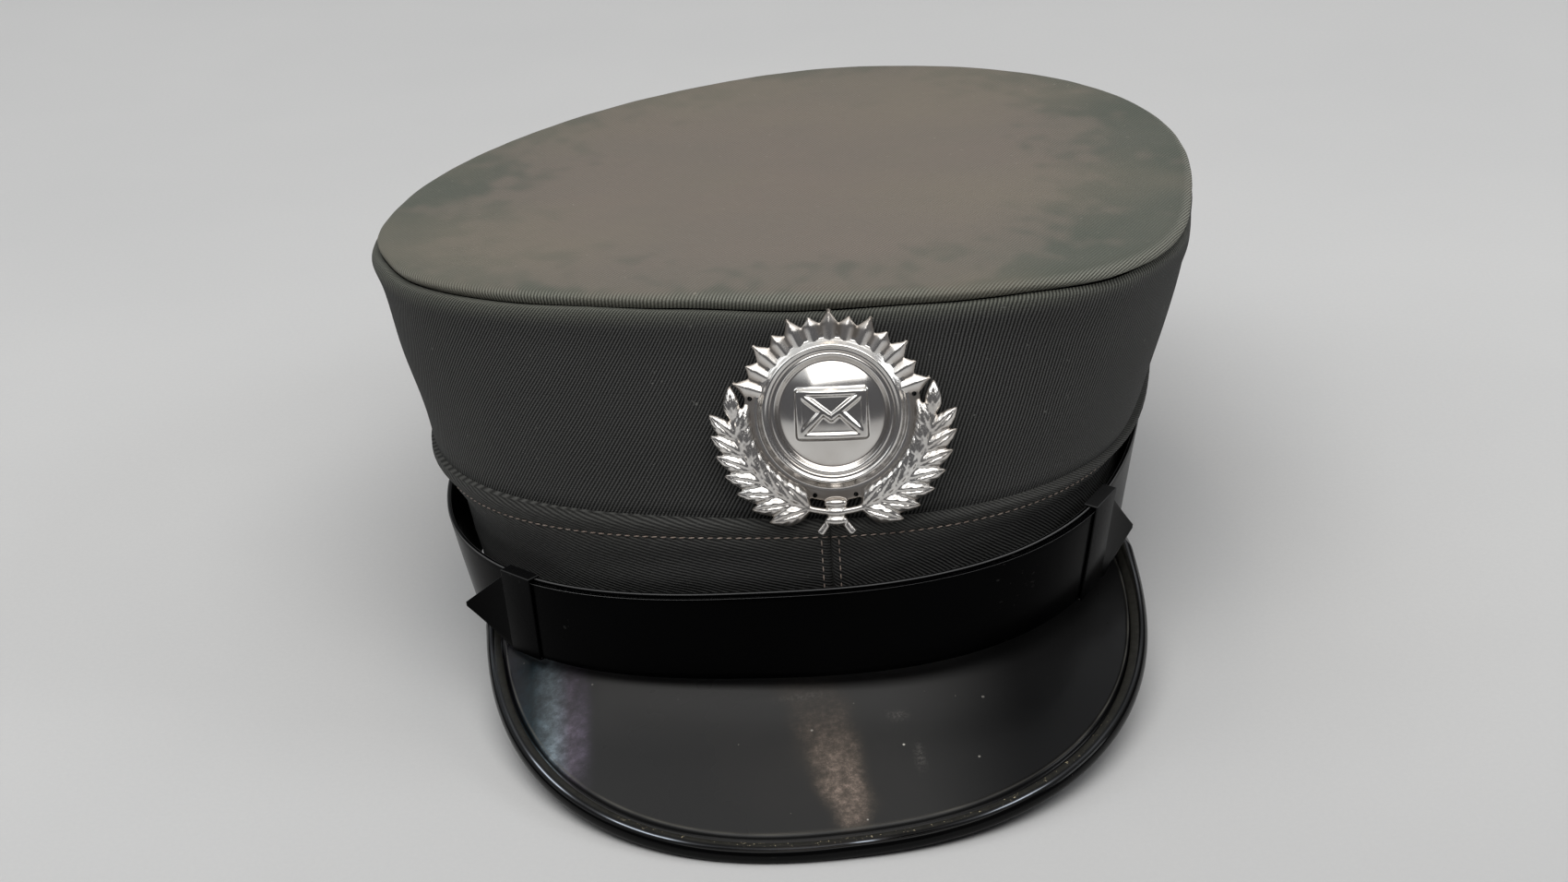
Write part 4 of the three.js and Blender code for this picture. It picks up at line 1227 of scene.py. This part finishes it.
def makeStitches(name, spots):
    # one bead of thread is modelled, and its copies are laid into one mesh
    deselectAll()
    bpy.ops.mesh.primitive_uv_sphere_add(segments=8, ring_count=5, radius=1)
    master = bpy.context.object
    work = bmesh.new()
    thick = stitching["thickness"] / 2
    for place, along, out in spots:
        length = stitching["length"] * (1 + 0.15 * wander(place, 2.5, 20)) / 2
        basis = Matrix((along * length, along.cross(out).normalized() * thick, out * thick))
        copy = master.data.copy()
        copy.transform(Matrix.Translation(place + out * thick * 0.44) @ basis.transposed().to_4x4())
        work.from_mesh(copy)
        bpy.data.meshes.remove(copy)
    work.to_mesh(master.data)
    work.free()
    tidyMesh(master, 0.0005)
    finishPiece(master, name, thread, [])


def foldStitchSpots():
    spots, steps, walked = [], 4000, 0
    last = bandPoint(roundAngle(0), cloth["stitchDrop"])
    for step in range(1, steps):
        angle = roundAngle(step / steps)
        place = bandPoint(angle, cloth["stitchDrop"])
        walked += (place - last).length
        last = place
        if walked < stitching["pitch"]:
            continue
        walked -= stitching["pitch"]
        along = (bandPoint(angle + 0.005, cloth["stitchDrop"]) - place).normalized()
        out = Vector((along.y, -along.x, 0)).normalized()
        sunk = -0.16 + 0.05 * wander(place, 4, 16)
        spots.append((place + out * sunk, (along + Vector((0, 0, 0.1))).normalized(), out))
    return spots


def seamStitchSpots():
    spots = []
    out = Vector((0, -1, 0))
    for side in (-1, 1):
        angle = frontAngle + side * stitching["seamGap"] / 98
        drop = cloth["stitchDrop"] + 1.2
        while drop < rimDrop - stitching["seamFoot"]:
            place = bandPoint(angle, drop)
            spots.append((place + out * 0.22, (place - bandPoint(angle, drop + 0.5)).normalized(), out))
            drop += stitching["pitch"]
    return spots


makeStitches("fold_stitches", foldStitchSpots())
makeStitches("seam_stitches", seamStitchSpots())
print("stitches done")

# Stage: floor, light and camera
deselectAll()
bpy.ops.mesh.primitive_plane_add(size=6, location=(0, 0, 0))
floor = bpy.context.object
floor.name = "floor"
card = NodeTree(bpy.data.materials.new("paleFloor"))
cardPlace = card.objectPlace()
tone = card.timesPlus(card.noise(cardPlace, 5, 4, 0.6), 0.7, -0.1)
tone = card.timesPlus(card.noise(cardPlace, 900, 3, 0.7), 0.5, tone)
cardColor = card.mix(tone, (0.6, 0.6, 0.6), (0.71, 0.705, 0.695))
# painted shade: a little greyer toward the front
frontShade = card.timesPlus(card.split(cardPlace)[1], -3.0, -0.15, clamp=True)
card.setShader({"Base Color": card.mix(frontShade, cardColor, (0.46, 0.46, 0.462)), "Roughness": 0.85,
                "Specular IOR Level": 0.2})
floor.data.materials.append(card.owner)


def aimedFrom(azimuth, elevation, distance):
    # a place seen from the cap: azimuth 0 is behind it and 90 at the viewer's right
    around, rise = math.radians(azimuth), math.radians(elevation)
    flat = math.cos(rise) * distance
    return Vector((math.sin(around) * flat, math.cos(around) * flat, math.sin(rise) * distance))


# each light: where it stands, in degrees and metres, its size, its radiance and its colour
lights = {
    "overhead": dict(azimuth=180, elevation=68, distance=1.7, size=(1.9, 1.3), radiance=2.2, color=(1, 0.99, 0.97)),
    "leftWindow": dict(azimuth=-29, elevation=40, distance=1.8, size=(0.26, 0.3), radiance=1.5, color=(0.72, 0.88, 1)),
    "warmStrip": dict(azimuth=-3, elevation=66, distance=1.6, size=(0.16, 0.42), radiance=2.6, color=(1, 0.82, 0.66)),
    "leftSide": dict(azimuth=-85, elevation=38, distance=1.8, size=(0.7, 0.7), radiance=1.25, color=(0.93, 0.97, 1)),
    "rightSide": dict(azimuth=95, elevation=34, distance=1.9, size=(0.7, 0.6), radiance=4.1, color=(0.95, 0.975, 1)),
}
target = Vector((0, -0.05, 0.05))
for name, look in lights.items():
    lamp = bpy.data.lights.new(name, "AREA")
    lamp.shape = "RECTANGLE"
    lamp.size, lamp.size_y = look["size"]
    # the power that gives this radiance over the lamp's face
    lamp.energy = look["radiance"] * math.pi * look["size"][0] * look["size"][1]
    lamp.color = look["color"]
    holder = bpy.data.objects.new(name, lamp)
    bpy.context.scene.collection.objects.link(holder)
    holder.location = target + aimedFrom(look["azimuth"], look["elevation"], look["distance"])
    holder.rotation_euler = (target - holder.location).to_track_quat("-Z", "Y").to_euler()

# The room: a pale ceiling, darker walls low in front and at the right.
room = {"ceiling": (0.62, 0.63, 0.64), "walls": (0.09, 0.09, 0.095), "frontLean": 0.35, "rightLean": -0.45,
        "low": 0.346, "high": 0.606}
sky = NodeTree(bpy.data.worlds.new("studio"))
bpy.context.scene.world = sky.owner
facing = sky.split(sky.add("ShaderNodeTexCoord").outputs["Generated"])
lean = sky.timesPlus(facing[1], room["frontLean"], facing[2])
lean = sky.timesPlus(sky.compute("MAXIMUM", facing[0], 0.12), room["rightLean"], lean)
raised = sky.add("ShaderNodeMapRange", interpolation_type="SMOOTHSTEP", Value=lean,
                 **{"From Min": room["low"], "From Max": room["high"]})
background = sky.tree.nodes["Background"]
sky.put(sky.mix(raised.outputs["Result"], room["walls"], room["ceiling"]), background.inputs[0])
background.inputs[1].default_value = 1.0

# The camera stands in the cap's space as the photograph shows it, a little to the left of the peak's axis.
view = {"place": (-20.98, -629.55, 243.70), "azimuth": 0.0244, "elevation": 0.3465, "roll": -0.07,
        "focalPixels": 3000, "frameWidth": 1700, "sensor": 36}
level = Vector((math.cos(view["azimuth"]), -math.sin(view["azimuth"]), 0))
forward = aimedFrom(math.degrees(view["azimuth"]), -math.degrees(view["elevation"]), 1)
above = level.cross(forward)
right = level * math.cos(view["roll"]) + above * math.sin(view["roll"])
up = above * math.cos(view["roll"]) - level * math.sin(view["roll"])
cameraData = bpy.data.cameras.new("camera")
cameraData.sensor_width = view["sensor"]
cameraData.lens = view["focalPixels"] / view["frameWidth"] * view["sensor"]
cameraData.clip_start = 0.01
camera = bpy.data.objects.new("camera", cameraData)
bpy.context.scene.collection.objects.link(camera)
turn = capPlace.to_3x3() @ Matrix.Scale(1000, 3)
axes = [turn @ right, turn @ up, turn @ -forward]
camera.matrix_world = Matrix.Translation(capPlace @ Vector(view["place"])) @ Matrix(axes).transposed().to_4x4()
bpy.context.scene.camera = camera
bpy.context.scene.view_settings.view_transform = "Standard"
print("stage ready")
